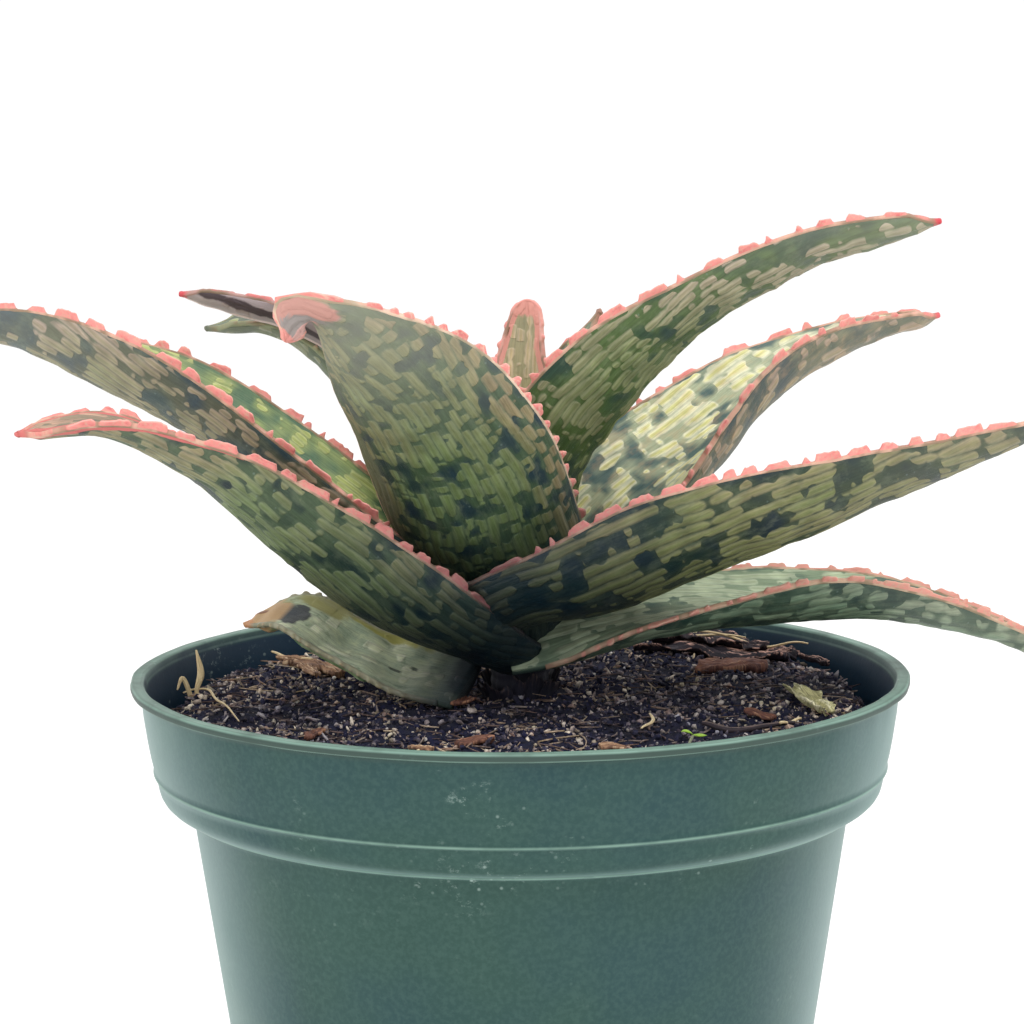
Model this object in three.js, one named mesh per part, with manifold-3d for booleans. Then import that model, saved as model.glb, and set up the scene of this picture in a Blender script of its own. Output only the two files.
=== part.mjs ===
// Potted snowflake aloe: nursery pot, soil, and a rosette of channelled leaves with pink toothed edges.
// Millimetres, +Z up. The origin is the middle of the pot's underside, and the front faces -Y.

import * as THREE from 'three';
import { mergeVertices } from 'three/addons/utils/BufferGeometryUtils.js';
import Module from 'manifold-3d';

const wasm = await Module();
wasm.setup();

// Driving dimensions
const clearance = 0.3; // gap left between pieces that touch

const potHeight = 92;
const potLipRadius = 53;
const potLipHeight = 1.1;
const potLipOverhang = 1.3;
const potWall = 1;
const potFootRadius = 34;
const potStepRadius = 45; // body radius where the collar begins
const potStepZ = 74.4;
const potLedgeRadius = 47.15; // outer end of the collar's nearly level underside
const potLedgeZ = 75.1;
const potCollarRadius = 49.4; // collar's narrow end, above its chamfered edge
const potCollarZ = 77.2;
const potPadRadius = 16; // flat middle of the underside
const potGrooveRadii = [17, 29];
const potGrooveDepth = 2.5;
const drainHoleCount = 6;
const drainHoleRadius = 3.5;
const potSegments = 40;
const potFloor = 1.3; // thickness of the bottom

const soilLevel = 88.6;
const soilRelief = 0.42;
const soilHoleFloorZ = 64;
const soilEdgeDrop = 0.8; // how far the soil sinks beside the wall
const soilWallGap = 0.5; // measured level, and the clearance is left upwards
const soilRings = [48.8, 39, 28, 16]; // radii at which the relief is drawn

const stemRadius = 4;
const stemTopRadius = 2.2;
const stemTopZ = 105.6;
const stemFootZ = 64.4;
const stemShoulderZ = 97; // above this the stem narrows
const stemSegments = 20;

const bladeKeelThickness = 4.5; // at the base of a full-grown leaf
const bladeTipThickness = 1.5;
const bladeEdgeThickness = 0.8;
const bladeBulge = 2.4; // how quickly the section thins towards its edges
const upperShare = 0.35; // part of the thickness above the middle surface
const bladeStationLength = 5.9;
const bladeAcross = [-1, -0.66, -0.33, 0, 0.33, 0.66, 1];
const marginWidth = 1.1; // pink rim, without its teeth
const marginStart = 0.1; // share of the leaf's length that has no rim at the base
const toothHeight = 1.2;
const toothPitch = 5.5;
const toothShape = [[0, 0], [0.28, 1], [0.72, 0.8]]; // place within the pitch, height

const leafGreen = 0x5f7a4c;
const leafPink = 0xe98078;

// Each leaf follows its keel from the stem to the tip. Width is measured across the flattened blade,
// cup is half the angle that the channel's arc takes up at base and tip, and roll turns the channel
// about the keel. Azimuth is the way the leaf points, in degrees from +X towards +Y.
// Leaves further down the list are cut clear of the ones before them.
const leaves = {
  leaf_front_left: {
    path: [[-2, -4, 95.5], [-16.5, -14, 102.5], [-29, -19.5, 113], [-41, -22, 123], [-52.5, -24, 128.5],
      [-63.5, -26, 128]],
    width: [16.5, 26, 22.5, 17, 10, 2.5], roll: [1, 19, -27], cup: [54, 39], azimuth: 197,
  },
  leaf_right_front: {
    path: [[1, -4, 97.5], [1, -12.5, 103], [10, -18, 105.5], [24.5, -20, 111.5], [41.5, -20, 117.5],
      [58, -19, 123.5], [73.5, -18, 129]],
    width: [20.5, 23, 24.5, 20, 14.5, 7.5, 2], roll: [-10, -14, 0], cup: [51, 41], azimuth: -28,
  },
  leaf_low_right: {
    path: [[-1.5, -5.5, 97.5], [9, -6, 99.5], [20.5, -4.5, 100.5], [33.5, -2.5, 100.5], [47, -0.5, 100.5],
      [61, 1, 98], [75, 2, 93]],
    width: [12.5, 16.5, 19.5, 22, 15.5, 7.5, 3], roll: [49, 26, 8, 10, 9], cup: [18, 81], azimuth: -3,
  },
  leaf_low_left: {
    path: [[-7, -6, 91], [-15.5, -3, 92.5], [-23.5, 0.5, 95.5], [-31, 4.5, 99], [-38.5, 8.5, 97]],
    width: [12, 12, 10.5, 9.5, 3], roll: [-19, -18, -26], cup: [19, 20], azimuth: 153,
    thickness: 2.4, margin: 0xb39a62, color: 0x8d9c80, toothHeight: 0.6, toothPitch: 4,
  },
  leaf_arched: {
    path: [[-1, -5, 101], [-4.5, -13.5, 112], [-8.5, -21.5, 122.5], [-13.5, -28, 131.5],
      [-19.5, -33.5, 139], [-25, -37, 143.5], [-28.5, -38.5, 140.5]],
    width: [19.5, 25.5, 27, 26.5, 23, 15, 7], roll: [23, 23, 24, 18, 16, 1, -42], cup: [33, 46], azimuth: 234,
  },
  leaf_upper_left: {
    path: [[-4, -0.5, 100], [-18.5, -0.5, 108], [-31, -1, 117.5], [-43.5, -0.5, 126.5], [-56, 0.5, 133],
      [-68, 2.5, 138], [-79, 4, 139.5]],
    width: [18, 22, 23, 23, 22, 12.5, 2], roll: [-4, -5, 20], cup: [67, 75], azimuth: 181,
  },
  leaf_upper_right: {
    path: [[3, -2, 104], [4, -5, 119], [13, -7.5, 132], [25, -10.5, 142], [39.5, -12.5, 149.5],
      [55, -13, 153.5]],
    width: [17, 21.5, 21.5, 14, 9.5, 3], roll: [-18, -16, -10], cup: [52, 40], azimuth: -19,
  },
  leaf_right: {
    path: [[4, 2, 101], [13.5, 6.5, 112], [24.5, 11, 120.5], [34.5, 14.5, 129], [46, 17.5, 135],
      [59.5, 18, 139]],
    width: [17, 22, 25, 20.5, 12, 3], roll: [47, 7, -22], cup: [50, 64], azimuth: 19,
  },
  leaf_young: {
    path: [[0.5, 0.5, 106], [0.5, 2, 119.5], [0.5, 3, 132], [1.5, 4, 142.5]],
    width: [9, 9.5, 8, 3.5], roll: [1, 1, 0], cup: [30, 25], azimuth: 80,
    thickness: 2.6, marginWidth: 1.7, toothHeight: 0.5, toothPitch: 4,
  },
  leaf_back_dark: {
    path: [[-3.5, 2, 104], [-10, 5.5, 118.5], [-18, 8, 129.5], [-27, 9.5, 137], [-37, 10.5, 141],
      [-46.5, 10, 143.5]],
    width: [11, 11.5, 10, 8, 6, 2.5], roll: [26, 29, 30], cup: [50, 60], azimuth: 167,
    thickness: 2.6, color: 0x4f5040, toothHeight: 0.5,
  },
  leaf_back_green: {
    path: [[-4, 3, 98.5], [-12.5, 7.5, 110], [-19, 11, 121.5], [-25, 14.5, 132], [-33.5, 16.5, 138],
      [-44, 18, 138]],
    width: [13, 15.5, 14.5, 11.5, 6.5, 2], roll: [-1, 0, 0], cup: [45, 50], azimuth: 155,
    thickness: 3, margin: 0xa9a27c, toothHeight: 0.6,
  },
  leaf_back_slim: {
    path: [[3, 4, 105], [3, 7, 118], [5.5, 10, 130], [11.5, 12, 140.5]],
    width: [10, 10, 6.5, 1.8], roll: [0, 0, 0], cup: [45, 50], azimuth: 50,
    thickness: 2.4, toothHeight: 0.5, toothPitch: 4,
  },
  leaf_back: {
    path: [[-0.5, 5, 96.5], [-1.5, 16, 105], [-3.5, 27, 112], [-6.5, 39, 117.5], [-9.5, 51, 121]],
    width: [15, 18, 16.5, 11, 3], roll: [0, 0, 0], cup: [50, 40], azimuth: 100,
    thickness: 3.6,
  },
};

// Numbers that repeat from run to run
function seededRandom(seed) {
  let state = seed;
  return () => {
    state = (state * 1664525 + 1013904223) % 4294967296;
    return state / 4294967296;
  };
}

function radians(degrees) {
  return THREE.MathUtils.degToRad(degrees);
}

// Smooth value at share u of an evenly spaced list
function blendList(list, u) {
  const points = list.map((v) => new THREE.Vector3(v, 0, 0));
  return new THREE.CatmullRomCurve3(points, false, 'catmullrom', 0.5).getPoint(u).x;
}

// Closed geometry from rings of equal length. Each ring is a flat strip: its first half runs along one
// face and its second half runs back along the other, so the two ends close with plain quads.
function loftStrip(rings) {
  const count = rings[0].length;
  const half = count / 2;
  const positions = rings.flat().flatMap((p) => [p.x, p.y, p.z]);
  const index = [];
  for (let i = 0; i < rings.length - 1; i += 1) {
    for (let j = 0; j < count; j += 1) {
      const a = i * count + j;
      const b = i * count + ((j + 1) % count);
      const mirrored = j >= half;
      if (mirrored) {
        index.push(a, b, b + count, a, b + count, a + count);
      } else {
        index.push(a, b, a + count, b, b + count, a + count);
      }
    }
  }
  const last = (rings.length - 1) * count;
  for (let j = 0; j < half - 1; j += 1) {
    const k = count - 1 - j;
    index.push(j, k, k - 1, j, k - 1, j + 1);
    index.push(last + j, last + k - 1, last + k, last + j, last + j + 1, last + k - 1);
  }
  const geometry = new THREE.BufferGeometry();
  geometry.setAttribute('position', new THREE.Float32BufferAttribute(positions, 3));
  geometry.setIndex(index);
  return geometry;
}

function toSolid(geometry) {
  const bare = geometry.clone();
  bare.deleteAttribute('normal');
  bare.deleteAttribute('uv');
  const merged = mergeVertices(bare, 1e-4);
  const mesh = new wasm.Mesh({
    numProp: 3,
    vertProperties: new Float32Array(merged.attributes.position.array),
    triVerts: new Uint32Array(merged.index.array),
  });
  const solid = new wasm.Manifold(mesh);
  return solid.volume() < 0 ? turnedInsideOut(merged) : solid;
}

function turnedInsideOut(merged) {
  const order = Array.from(merged.index.array);
  for (let i = 0; i < order.length; i += 3) {
    [order[i + 1], order[i + 2]] = [order[i + 2], order[i + 1]];
  }
  const vertProperties = new Float32Array(merged.attributes.position.array);
  return new wasm.Manifold(new wasm.Mesh({ numProp: 3, vertProperties, triVerts: new Uint32Array(order) }));
}

// The largest piece of a cut solid; loose scraps are dropped
function largestPiece(solid) {
  const pieces = solid.decompose();
  return pieces.reduce((best, piece) => (piece.volume() > best.volume() ? piece : best));
}

function toGeometry(solid) {
  const mesh = solid.getMesh();
  const geometry = new THREE.BufferGeometry();
  geometry.setAttribute('position', new THREE.Float32BufferAttribute(mesh.vertProperties, 3));
  geometry.setIndex(Array.from(mesh.triVerts));
  return geometry;
}

const plant = new THREE.Group();

function addPiece(name, geometry, look) {
  const material = new THREE.MeshStandardMaterial({ roughness: 0.6, metalness: 0, ...look });
  const mesh = new THREE.Mesh(geometry, material);
  mesh.name = name;
  plant.add(mesh);
}

// Leaf surface

// Keel point, channel frame and section of a leaf at any share of its length
function leafForm(leaf) {
  const points = leaf.path.map((p) => new THREE.Vector3(...p));
  const keel = new THREE.CatmullRomCurve3(points, false, 'catmullrom', 0.5);
  const heading = radians(leaf.azimuth);
  const inward = new THREE.Vector3(-Math.cos(heading), -Math.sin(heading), 1).normalize();
  const thickness = leaf.thickness ?? bladeKeelThickness;
  return {
    length: keel.getLength(),
    at(u) {
      const share = THREE.MathUtils.clamp(u, 0, 1);
      const along = keel.getTangentAt(share);
      const up = inward.clone().addScaledVector(along, -inward.dot(along)).normalize();
      up.applyAxisAngle(along, radians(blendList(leaf.roll, share)));
      const side = new THREE.Vector3().crossVectors(along, up);
      const halfWidth = Math.max(blendList(leaf.width, share), 1) / 2;
      const cup = radians(THREE.MathUtils.lerp(leaf.cup[0], leaf.cup[1], share));
      return {
        centre: keel.getPointAt(share),
        up,
        side,
        halfWidth,
        arcRadius: halfWidth / cup,
        thickness: Math.min(THREE.MathUtils.lerp(thickness, bladeTipThickness, share), halfWidth * 0.7 + 0.5),
      };
    },
  };
}

// Point of the leaf at a distance across its arc and a height above its middle surface
function leafPoint(frame, across, height) {
  const angle = across / frame.arcRadius;
  const radius = frame.arcRadius - height;
  return frame.centre.clone()
    .addScaledVector(frame.side, radius * Math.sin(angle))
    .addScaledVector(frame.up, frame.arcRadius - radius * Math.cos(angle));
}

function bladeThickness(frame, s) {
  const full = Math.max(frame.thickness, bladeEdgeThickness);
  return bladeEdgeThickness + (full - bladeEdgeThickness) * (1 - Math.abs(s) ** bladeBulge);
}

// Blade section at a share of the length, drawn half as wide as given and grown all round
function bladeRing(form, u, half, grow) {
  const frame = form.at(u);
  const upper = bladeAcross.map((s) => {
    const height = bladeThickness(frame, s) * upperShare + grow;
    return leafPoint(frame, s * (half + grow), height);
  });
  const lower = [...bladeAcross].reverse().map((s) => {
    const height = -bladeThickness(frame, s) * (1 - upperShare) - grow;
    return leafPoint(frame, s * (half + grow), height);
  });
  return [...upper, ...lower];
}

function rimWidth(leaf, halfWidth) {
  return Math.min(leaf.marginWidth ?? marginWidth, halfWidth * 0.45);
}

// Share of the length where the green blade stops and the tip is all rim
function bladeEnd(leaf, form) {
  return 1 - (1.5 * (leaf.marginWidth ?? marginWidth)) / form.length;
}

function bladeGeometry(leaf, form, grow = 0) {
  const end = bladeEnd(leaf, form);
  const steps = Math.max(7, Math.round(form.length / bladeStationLength));
  const rings = [];
  for (let i = 0; i <= steps; i += 1) {
    const u = (end * i) / steps;
    const { halfWidth } = form.at(u);
    rings.push(bladeRing(form, u, halfWidth - rimWidth(leaf, halfWidth), grow));
  }
  return loftStrip(rings);
}

// Outline of the whole leaf, teeth included, grown by the clearance: later leaves are cut with it
function leafCutter(leaf, form) {
  const steps = Math.max(7, Math.round(form.length / bladeStationLength));
  const reach = (leaf.toothHeight ?? toothHeight) * 1.1;
  const rings = [];
  for (let i = 0; i <= steps; i += 1) {
    const u = i / steps;
    rings.push(bladeRing(form, u, form.at(u).halfWidth + reach, clearance));
  }
  return loftStrip(rings);
}

// Pink rim with its teeth: one strip up one edge of the leaf, round the tip and down the other
function marginGeometry(leaf, form, random) {
  const end = bladeEnd(leaf, form);
  const gapShare = clearance / form.length;
  const pitch = leaf.toothPitch ?? toothPitch;
  const height = leaf.toothHeight ?? toothHeight;
  const span = end - marginStart;
  const teeth = Math.round((span * form.length) / pitch);

  function corner(u, inner, outer) {
    const frame = form.at(u);
    const above = bladeEdgeThickness * upperShare;
    const below = -bladeEdgeThickness * (1 - upperShare);
    return [
      leafPoint(frame, inner, above), leafPoint(frame, outer, above),
      leafPoint(frame, outer, below), leafPoint(frame, inner, below),
    ];
  }

  function sideStations(side) {
    const stations = [];
    for (let i = 0; i < teeth; i += 1) {
      const tall = height * (0.65 + 0.45 * random());
      const shift = 0.16 * (random() - 0.5);
      for (const [place, rise] of toothShape) {
        const u = marginStart + (span * (i + place + (rise > 0 ? shift : 0))) / teeth;
        const { halfWidth } = form.at(u);
        const fade = THREE.MathUtils.smoothstep(1 - u, 0, 0.12);
        const inner = halfWidth - rimWidth(leaf, halfWidth) + clearance;
        stations.push(corner(u, side * inner, side * (halfWidth + rise * tall * fade)));
      }
    }
    const closing = end + gapShare;
    const { halfWidth } = form.at(end);
    const inner = halfWidth - rimWidth(leaf, halfWidth) + clearance;
    stations.push(corner(closing, side * inner, side * Math.max(form.at(closing).halfWidth, inner + 0.4)));
    return stations;
  }

  const left = sideStations(-1);
  const right = sideStations(1).reverse();
  const inside = form.at(end + 1.4 * gapShare);
  const outside = form.at(1);
  const above = bladeEdgeThickness * upperShare;
  const below = -bladeEdgeThickness * (1 - upperShare);
  const tip = [
    leafPoint(inside, 0, above), leafPoint(outside, 0, above),
    leafPoint(outside, 0, below), leafPoint(inside, 0, below),
  ];
  return loftStrip([...left, tip, ...right]);
}

// Pot

const holeMiddle = (potGrooveRadii[0] + potGrooveRadii[1]) / 2;

function lathe(profile, segments) {
  const points = profile.map(([r, z]) => new THREE.Vector2(r, z));
  return new THREE.LatheGeometry(points, segments).rotateX(Math.PI / 2);
}

const collarTop = potHeight - potLipHeight;
const collarOuter = potLipRadius - potLipOverhang;

// Inside of the wall, from the body's foot up to the lip
const potInnerWall = [
  [potFootRadius - potWall, potFloor], [potStepRadius - potWall, potStepZ + potWall],
  [potLedgeRadius - 0.5, potLedgeZ + potWall], [potCollarRadius - potWall, potCollarZ + 0.6],
  [collarOuter - potWall, collarTop - 0.4],
];

function potSolid() {
  const floor = potGrooveDepth + potFloor;
  const outer = [
    [0, 0], [potPadRadius, 0], [potGrooveRadii[0], potGrooveDepth], [potGrooveRadii[1], potGrooveDepth],
    [potGrooveRadii[1] + 1, 0], [potFootRadius, 0], [potStepRadius, potStepZ],
    [potLedgeRadius, potLedgeZ], [potCollarRadius - 0.8, potCollarZ - 1.2],
    [potCollarRadius, potCollarZ], [collarOuter, collarTop],
    [potLipRadius, collarTop], [potLipRadius, potHeight],
  ];
  const inner = [
    [potLipRadius - 1.6, potHeight], ...[...potInnerWall].reverse(),
    [potGrooveRadii[1] + 1.8, potFloor], [potGrooveRadii[1], floor], [potGrooveRadii[0] - 0.8, floor],
    [potPadRadius - 1, potFloor], [0, potFloor],
  ];
  let pot = toSolid(lathe([...outer, ...inner], potSegments));
  for (let i = 0; i < drainHoleCount; i += 1) {
    const angle = (i * 2 * Math.PI) / drainHoleCount + 0.3;
    const hole = new THREE.CylinderGeometry(drainHoleRadius, drainHoleRadius, 6, 12).rotateX(Math.PI / 2);
    hole.translate(Math.cos(angle) * holeMiddle, Math.sin(angle) * holeMiddle, potGrooveDepth);
    pot = pot.subtract(toSolid(hole));
  }
  return pot;
}

// Soil, with a gentle relief and a plain hole for the root neck

function soilHeight(x, y) {
  const waves = Math.sin(0.19 * x + 1.1) * Math.cos(0.16 * y - 0.6) + 0.6 * Math.sin(0.37 * x - 0.29 * y);
  const edge = THREE.MathUtils.smoothstep(Math.hypot(x, y), 41, 51);
  return soilLevel + soilRelief * waves - soilEdgeDrop * edge;
}

function soilSolid() {
  const floorZ = potGrooveDepth + potFloor + clearance;
  const holeRadius = stemRadius + clearance;
  const [foot, ...rise] = potInnerWall.slice(0, -1).map(([r, z]) => [r - soilWallGap, z + clearance]);
  const topRadius = collarOuter - potWall - 1.1;
  const profile = [
    [0, floorZ], [foot[0] + 0.4, floorZ], ...rise, [topRadius, soilLevel - 1.4],
    ...soilRings.map((r) => [r, soilLevel]),
    [holeRadius, soilLevel], [holeRadius, soilHoleFloorZ], [0, soilHoleFloorZ],
  ];
  const geometry = lathe(profile, potSegments);
  const position = geometry.attributes.position;
  for (let i = 0; i < position.count; i += 1) {
    if (position.getZ(i) > soilLevel - 0.1) {
      position.setZ(i, soilHeight(position.getX(i), position.getY(i)));
    }
  }
  return toSolid(geometry);
}

// Litter on the soil

// Thin uneven plate lying along a route on the soil, such as a dried leaf or a bark chip
function plate(spec, grow = 0) {
  const { from, to, width, thickness, lift, wave = 0, steps = 6 } = spec;
  const start = new THREE.Vector2(...from);
  const end = new THREE.Vector2(...to);
  const along = end.clone().sub(start);
  const side = new THREE.Vector2(-along.y, along.x).normalize();
  const rings = [];
  for (let i = 0; i <= steps; i += 1) {
    const u = i / steps;
    const reach = i === 0 ? -grow : grow * (i === steps);
    const middle = start.clone().addScaledVector(along, u).addScaledVector(along.clone().normalize(), reach);
    const half = (width / 2) * (0.55 + 0.45 * Math.sin(Math.PI * Math.min(1, u * 0.9 + 0.1))) + grow;
    const ring = [-1, 0, 1].map((s) => {
      const x = middle.x + side.x * s * half;
      const y = middle.y + side.y * s * half;
      const bend = wave * (Math.sin(5 * u + 2 * s) + 0.5 * s * Math.cos(9 * u));
      return new THREE.Vector3(x, y, soilHeight(middle.x, middle.y) + lift + bend);
    });
    const raise = (amount) => (p) => p.clone().add(new THREE.Vector3(0, 0, amount));
    rings.push([...ring.map(raise(thickness + grow)), ...ring.reverse().map(raise(-grow))]);
  }
  return toSolid(loftStrip(rings));
}

const litter = {
  dried_leaf_lower: {
    from: [18, 30], to: [41, 20], width: 9, thickness: 0.8, lift: 0.1, wave: 0.4, color: 0x4a352c,
  },
  dried_leaf_upper: {
    from: [19, 33], to: [36, 25], width: 7, thickness: 0.8, lift: 1.5, wave: 0.3, color: 0x5d4436,
  },
  bark_chip: { from: [25.5, 16.5], to: [35, 13.5], width: 6, thickness: 1.6, lift: -0.4, color: 0x6b4233 },
  dry_scrap: {
    from: [37, -2], to: [41, -17], width: 4, thickness: 0.7, lift: 0, wave: 0.25, color: 0x9a9a55,
  },
  wood_chip_left: { from: [-34, 25], to: [-25, 13], width: 3.4, thickness: 1.2, lift: -0.3, color: 0x8f6f52 },
  wood_chip_front: {
    from: [-8, -34], to: [-3.5, -32], width: 3, thickness: 1.3, lift: -0.3, color: 0x7c4a38,
  },
};

function tubeAlong(points, radius, sides, steps, grow = 0) {
  const section = new THREE.Shape();
  section.absarc(0, 0, radius + grow, 0, 2 * Math.PI, false);
  const path = new THREE.CatmullRomCurve3(points.map((p) => new THREE.Vector3(...p)));
  return new THREE.ExtrudeGeometry(section, {
    extrudePath: path, steps, curveSegments: sides, bevelEnabled: false,
  });
}

// Seedling: a bowed stalk with two small oval leaves on it
const seedlingPath = [[20.9, -34.5, 86.6], [21.1, -34.4, 88.4], [21.6, -34, 89.9]];
const seedlingHead = [21.7, -34, 90.1];
const seedlingLeaves = [[0.5, 0.9], [3.4, 1]]; // turn, half length
const stalkRadius = 0.35;
const strawRadius = 0.45;

function seedlingSolid(grow) {
  let seedling = toSolid(tubeAlong(seedlingPath, stalkRadius, 3, 3, grow));
  for (const [turn, size] of seedlingLeaves) {
    const leaf = new THREE.SphereGeometry(1, 7, 4).scale(size, 0.6, 0.4).translate(size * 0.85, 0, 0);
    leaf.rotateZ(turn).translate(...seedlingHead);
    seedling = seedling.add(toSolid(leaf));
  }
  return seedling;
}

// Dry stalks that stand in the soil near the wall
const strawStalks = {
  straw_upright: [[-44.4, 2.2, 86.6], [-44.2, 2.4, 90], [-44.7, 2.8, 94.6]],
  straw_leaning: [[-46.2, 0.9, 86.8], [-46.6, 0.8, 89.4], [-47.8, 0.4, 91.6]],
};

function strawSolid(points, grow = 0) {
  return toSolid(tubeAlong(points, strawRadius, 3, 3, grow));
}

// Assembly

const stemProfile = [
  [0, stemFootZ], [stemRadius * 0.7, stemFootZ], [stemRadius, soilLevel - 8], [stemRadius, stemShoulderZ],
  [stemTopRadius, stemTopZ], [0, stemTopZ],
];
const stem = toSolid(lathe(stemProfile, stemSegments));
const stemCutter = toSolid(lathe([
  [0, stemFootZ], [stemRadius + clearance, stemFootZ], [stemRadius + clearance, stemShoulderZ + clearance],
  [stemTopRadius + clearance, stemTopZ + clearance], [0, stemTopZ + clearance],
], stemSegments));

addPiece('pot', toGeometry(potSolid()), { color: 0x5e8072, roughness: 0.55 });

let soil = soilSolid();
for (const spec of Object.values(litter)) {
  soil = soil.subtract(plate(spec, clearance));
}
soil = soil.subtract(seedlingSolid(clearance));
for (const points of Object.values(strawStalks)) {
  soil = soil.subtract(strawSolid(points, clearance));
}
addPiece('soil', toGeometry(largestPiece(soil)), { color: 0x33261f, roughness: 0.95 });

addPiece('stem', toGeometry(stem), { color: 0x5b5038, roughness: 0.8 });

let taken = stemCutter;
const random = seededRandom(7);
for (const [name, leaf] of Object.entries(leaves)) {
  const form = leafForm(leaf);
  const blade = largestPiece(toSolid(bladeGeometry(leaf, form)).subtract(taken));
  const rimSeat = toSolid(bladeGeometry(leaf, form, clearance / 2));
  const margin = largestPiece(toSolid(marginGeometry(leaf, form, random)).subtract(rimSeat).subtract(taken));
  addPiece(name, toGeometry(blade), { color: leaf.color ?? leafGreen, roughness: 0.5 });
  addPiece(`${name}_margin`, toGeometry(margin), { color: leaf.margin ?? leafPink, roughness: 0.5 });
  taken = taken.add(toSolid(leafCutter(leaf, form)));
}

let litterTaken = stemCutter;
for (const [name, spec] of Object.entries(litter)) {
  const piece = largestPiece(plate(spec).subtract(litterTaken));
  addPiece(name, toGeometry(piece), { color: spec.color, roughness: 0.9 });
  litterTaken = litterTaken.add(plate(spec, clearance));
}
addPiece('seedling', toGeometry(seedlingSolid(0)), { color: 0x8cbf3f, roughness: 0.5 });
for (const [name, points] of Object.entries(strawStalks)) {
  addPiece(name, toGeometry(strawSolid(points)), { color: 0xc2a877, roughness: 0.8 });
}

export default plant;
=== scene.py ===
import math

import bpy
import numpy as np
from mathutils import Matrix, Vector


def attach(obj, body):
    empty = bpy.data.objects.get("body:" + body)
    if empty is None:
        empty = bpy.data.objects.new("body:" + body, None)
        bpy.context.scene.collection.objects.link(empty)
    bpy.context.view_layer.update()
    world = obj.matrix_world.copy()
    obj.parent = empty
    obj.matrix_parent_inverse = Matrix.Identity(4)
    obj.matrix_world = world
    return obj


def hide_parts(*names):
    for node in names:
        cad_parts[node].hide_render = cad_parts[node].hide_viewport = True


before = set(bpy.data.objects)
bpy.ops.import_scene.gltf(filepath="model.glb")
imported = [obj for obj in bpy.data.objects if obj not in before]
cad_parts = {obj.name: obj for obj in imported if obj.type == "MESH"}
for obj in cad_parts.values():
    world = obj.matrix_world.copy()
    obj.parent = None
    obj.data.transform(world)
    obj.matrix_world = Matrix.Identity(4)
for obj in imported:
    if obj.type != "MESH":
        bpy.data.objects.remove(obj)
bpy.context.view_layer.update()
mm = 0.001  # lengths below are in millimetres unless a line says otherwise
fullTurn = 2 * np.pi
hashGains = (127.1, 311.7, 74.7, 43758.5453)  # odd factors that scatter neighbouring cells
screenGamma = 2.2


# repeatable number from 0 to 1 for a cell
def hash01(i, j=0.0, seed=0.0):
    a, b, c, d = hashGains
    value = np.sin(np.asarray(i) * a + np.asarray(j) * b + seed * c) * d
    return value - np.floor(value)


def ease(t):
    return t * t * (3 - 2 * t)


def smoothStep(x, low, high):
    return ease(np.clip((x - low) / (high - low), 0, 1))


# smooth random relief from 0 to 1, with one bump in each unit cell
def smoothNoise(x, y, seed):
    xi, yi = np.floor(x), np.floor(y)
    fx, fy = ease(x - xi), ease(y - yi)
    low, high = (hash01(xi, yi + k, seed) * (1 - fx) + hash01(xi + 1, yi + k, seed) * fx for k in (0, 1))
    return low * (1 - fy) + high * fy


# the same relief from -0.5 to 0.5
def sway(x, y, seed):
    return smoothNoise(x, y, seed) - 0.5


def unit(v):
    return v / np.linalg.norm(v, axis=-1, keepdims=True)


# smooth curve through evenly spaced values, at shares t from 0 to 1
def catmull(values, t):
    v = np.asarray(values, float)
    v = v[:, None] if v.ndim == 1 else v
    x = np.clip(t, 0, 1) * (len(v) - 1)
    i = np.minimum(x.astype(int), len(v) - 2)
    w = (x - i)[:, None]
    ext = np.vstack([2 * v[0] - v[1], v, 2 * v[-1] - v[-2]])
    p0, p1, p2, p3 = (ext[i + k] for k in range(4))
    m1, m2 = 0.5 * (p2 - p0), 0.5 * (p3 - p1)
    return p1 + m1 * w + (3 * (p2 - p1) - 2 * m1 - m2) * w ** 2 + (2 * (p1 - p2) + m1 + m2) * w ** 3


# angles of evenly spaced points round a ring
def ringTurns(count):
    return np.linspace(0, fullTurn, count, endpoint=False)


# quads between rings of equal length, each ring closed; caps close the first and last ring
def ringFaces(rings, count, caps=True):
    i, j = np.meshgrid(np.arange(rings - 1), np.arange(count), indexing="ij")
    a, b = i * count + j, i * count + (j + 1) % count
    faces = np.stack([a, b, b + count, a + count], -1).reshape(-1, 4).tolist()
    if caps:
        faces.append(list(range(count))[::-1])
        faces.append([(rings - 1) * count + k for k in range(count)])
    return faces


# the two faces of a sheet, rows by columns, as closed rings round it
def wrapped(over, under):
    return np.concatenate([over, under[:, ::-1]], axis=1)


# several forms as one; a form is points, faces and a table of values at the points
def joined(forms):
    points, faces, table = [], [], {}
    base = 0
    for some, theirs, values in forms:
        points.append(some)
        faces += [[v + base for v in face] for face in theirs]
        for key, data in values.items():
            table.setdefault(key, []).append(data)
        base += len(some)
    return np.vstack(points), faces, {key: np.concatenate(data) for key, data in table.items()}


def newMesh(name, points, faces):
    mesh = bpy.data.meshes.new(name)
    mesh.from_pydata((np.asarray(points, float) * mm).tolist(), [], faces)
    return mesh


def giveValues(mesh, table):
    for key, data in table.items():
        data = np.asarray(data, np.float32)
        kind, field = ("FLOAT_VECTOR", "vector") if data.ndim == 2 else ("FLOAT", "value")
        mesh.attributes.new(key, kind, "POINT").data.foreach_set(field, data.ravel())


def addObject(name, data):
    made = bpy.data.objects.new(name, data)
    bpy.context.scene.collection.objects.link(made)
    return made


def addPiece(name, form, material, nodes=()):
    points, faces, table = form
    mesh = newMesh(name, points, faces)
    giveValues(mesh, table)
    mesh.shade_smooth()
    mesh.materials.append(material)
    piece = addObject(name, mesh)
    if nodes:
        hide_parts(*nodes)
    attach(piece, "root")
    return piece


# colour given as it looks on a screen, 0 to 255
def colour(red, green, blue):
    return tuple((c / 255) ** screenGamma for c in (red, green, blue)) + (1,)


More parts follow.
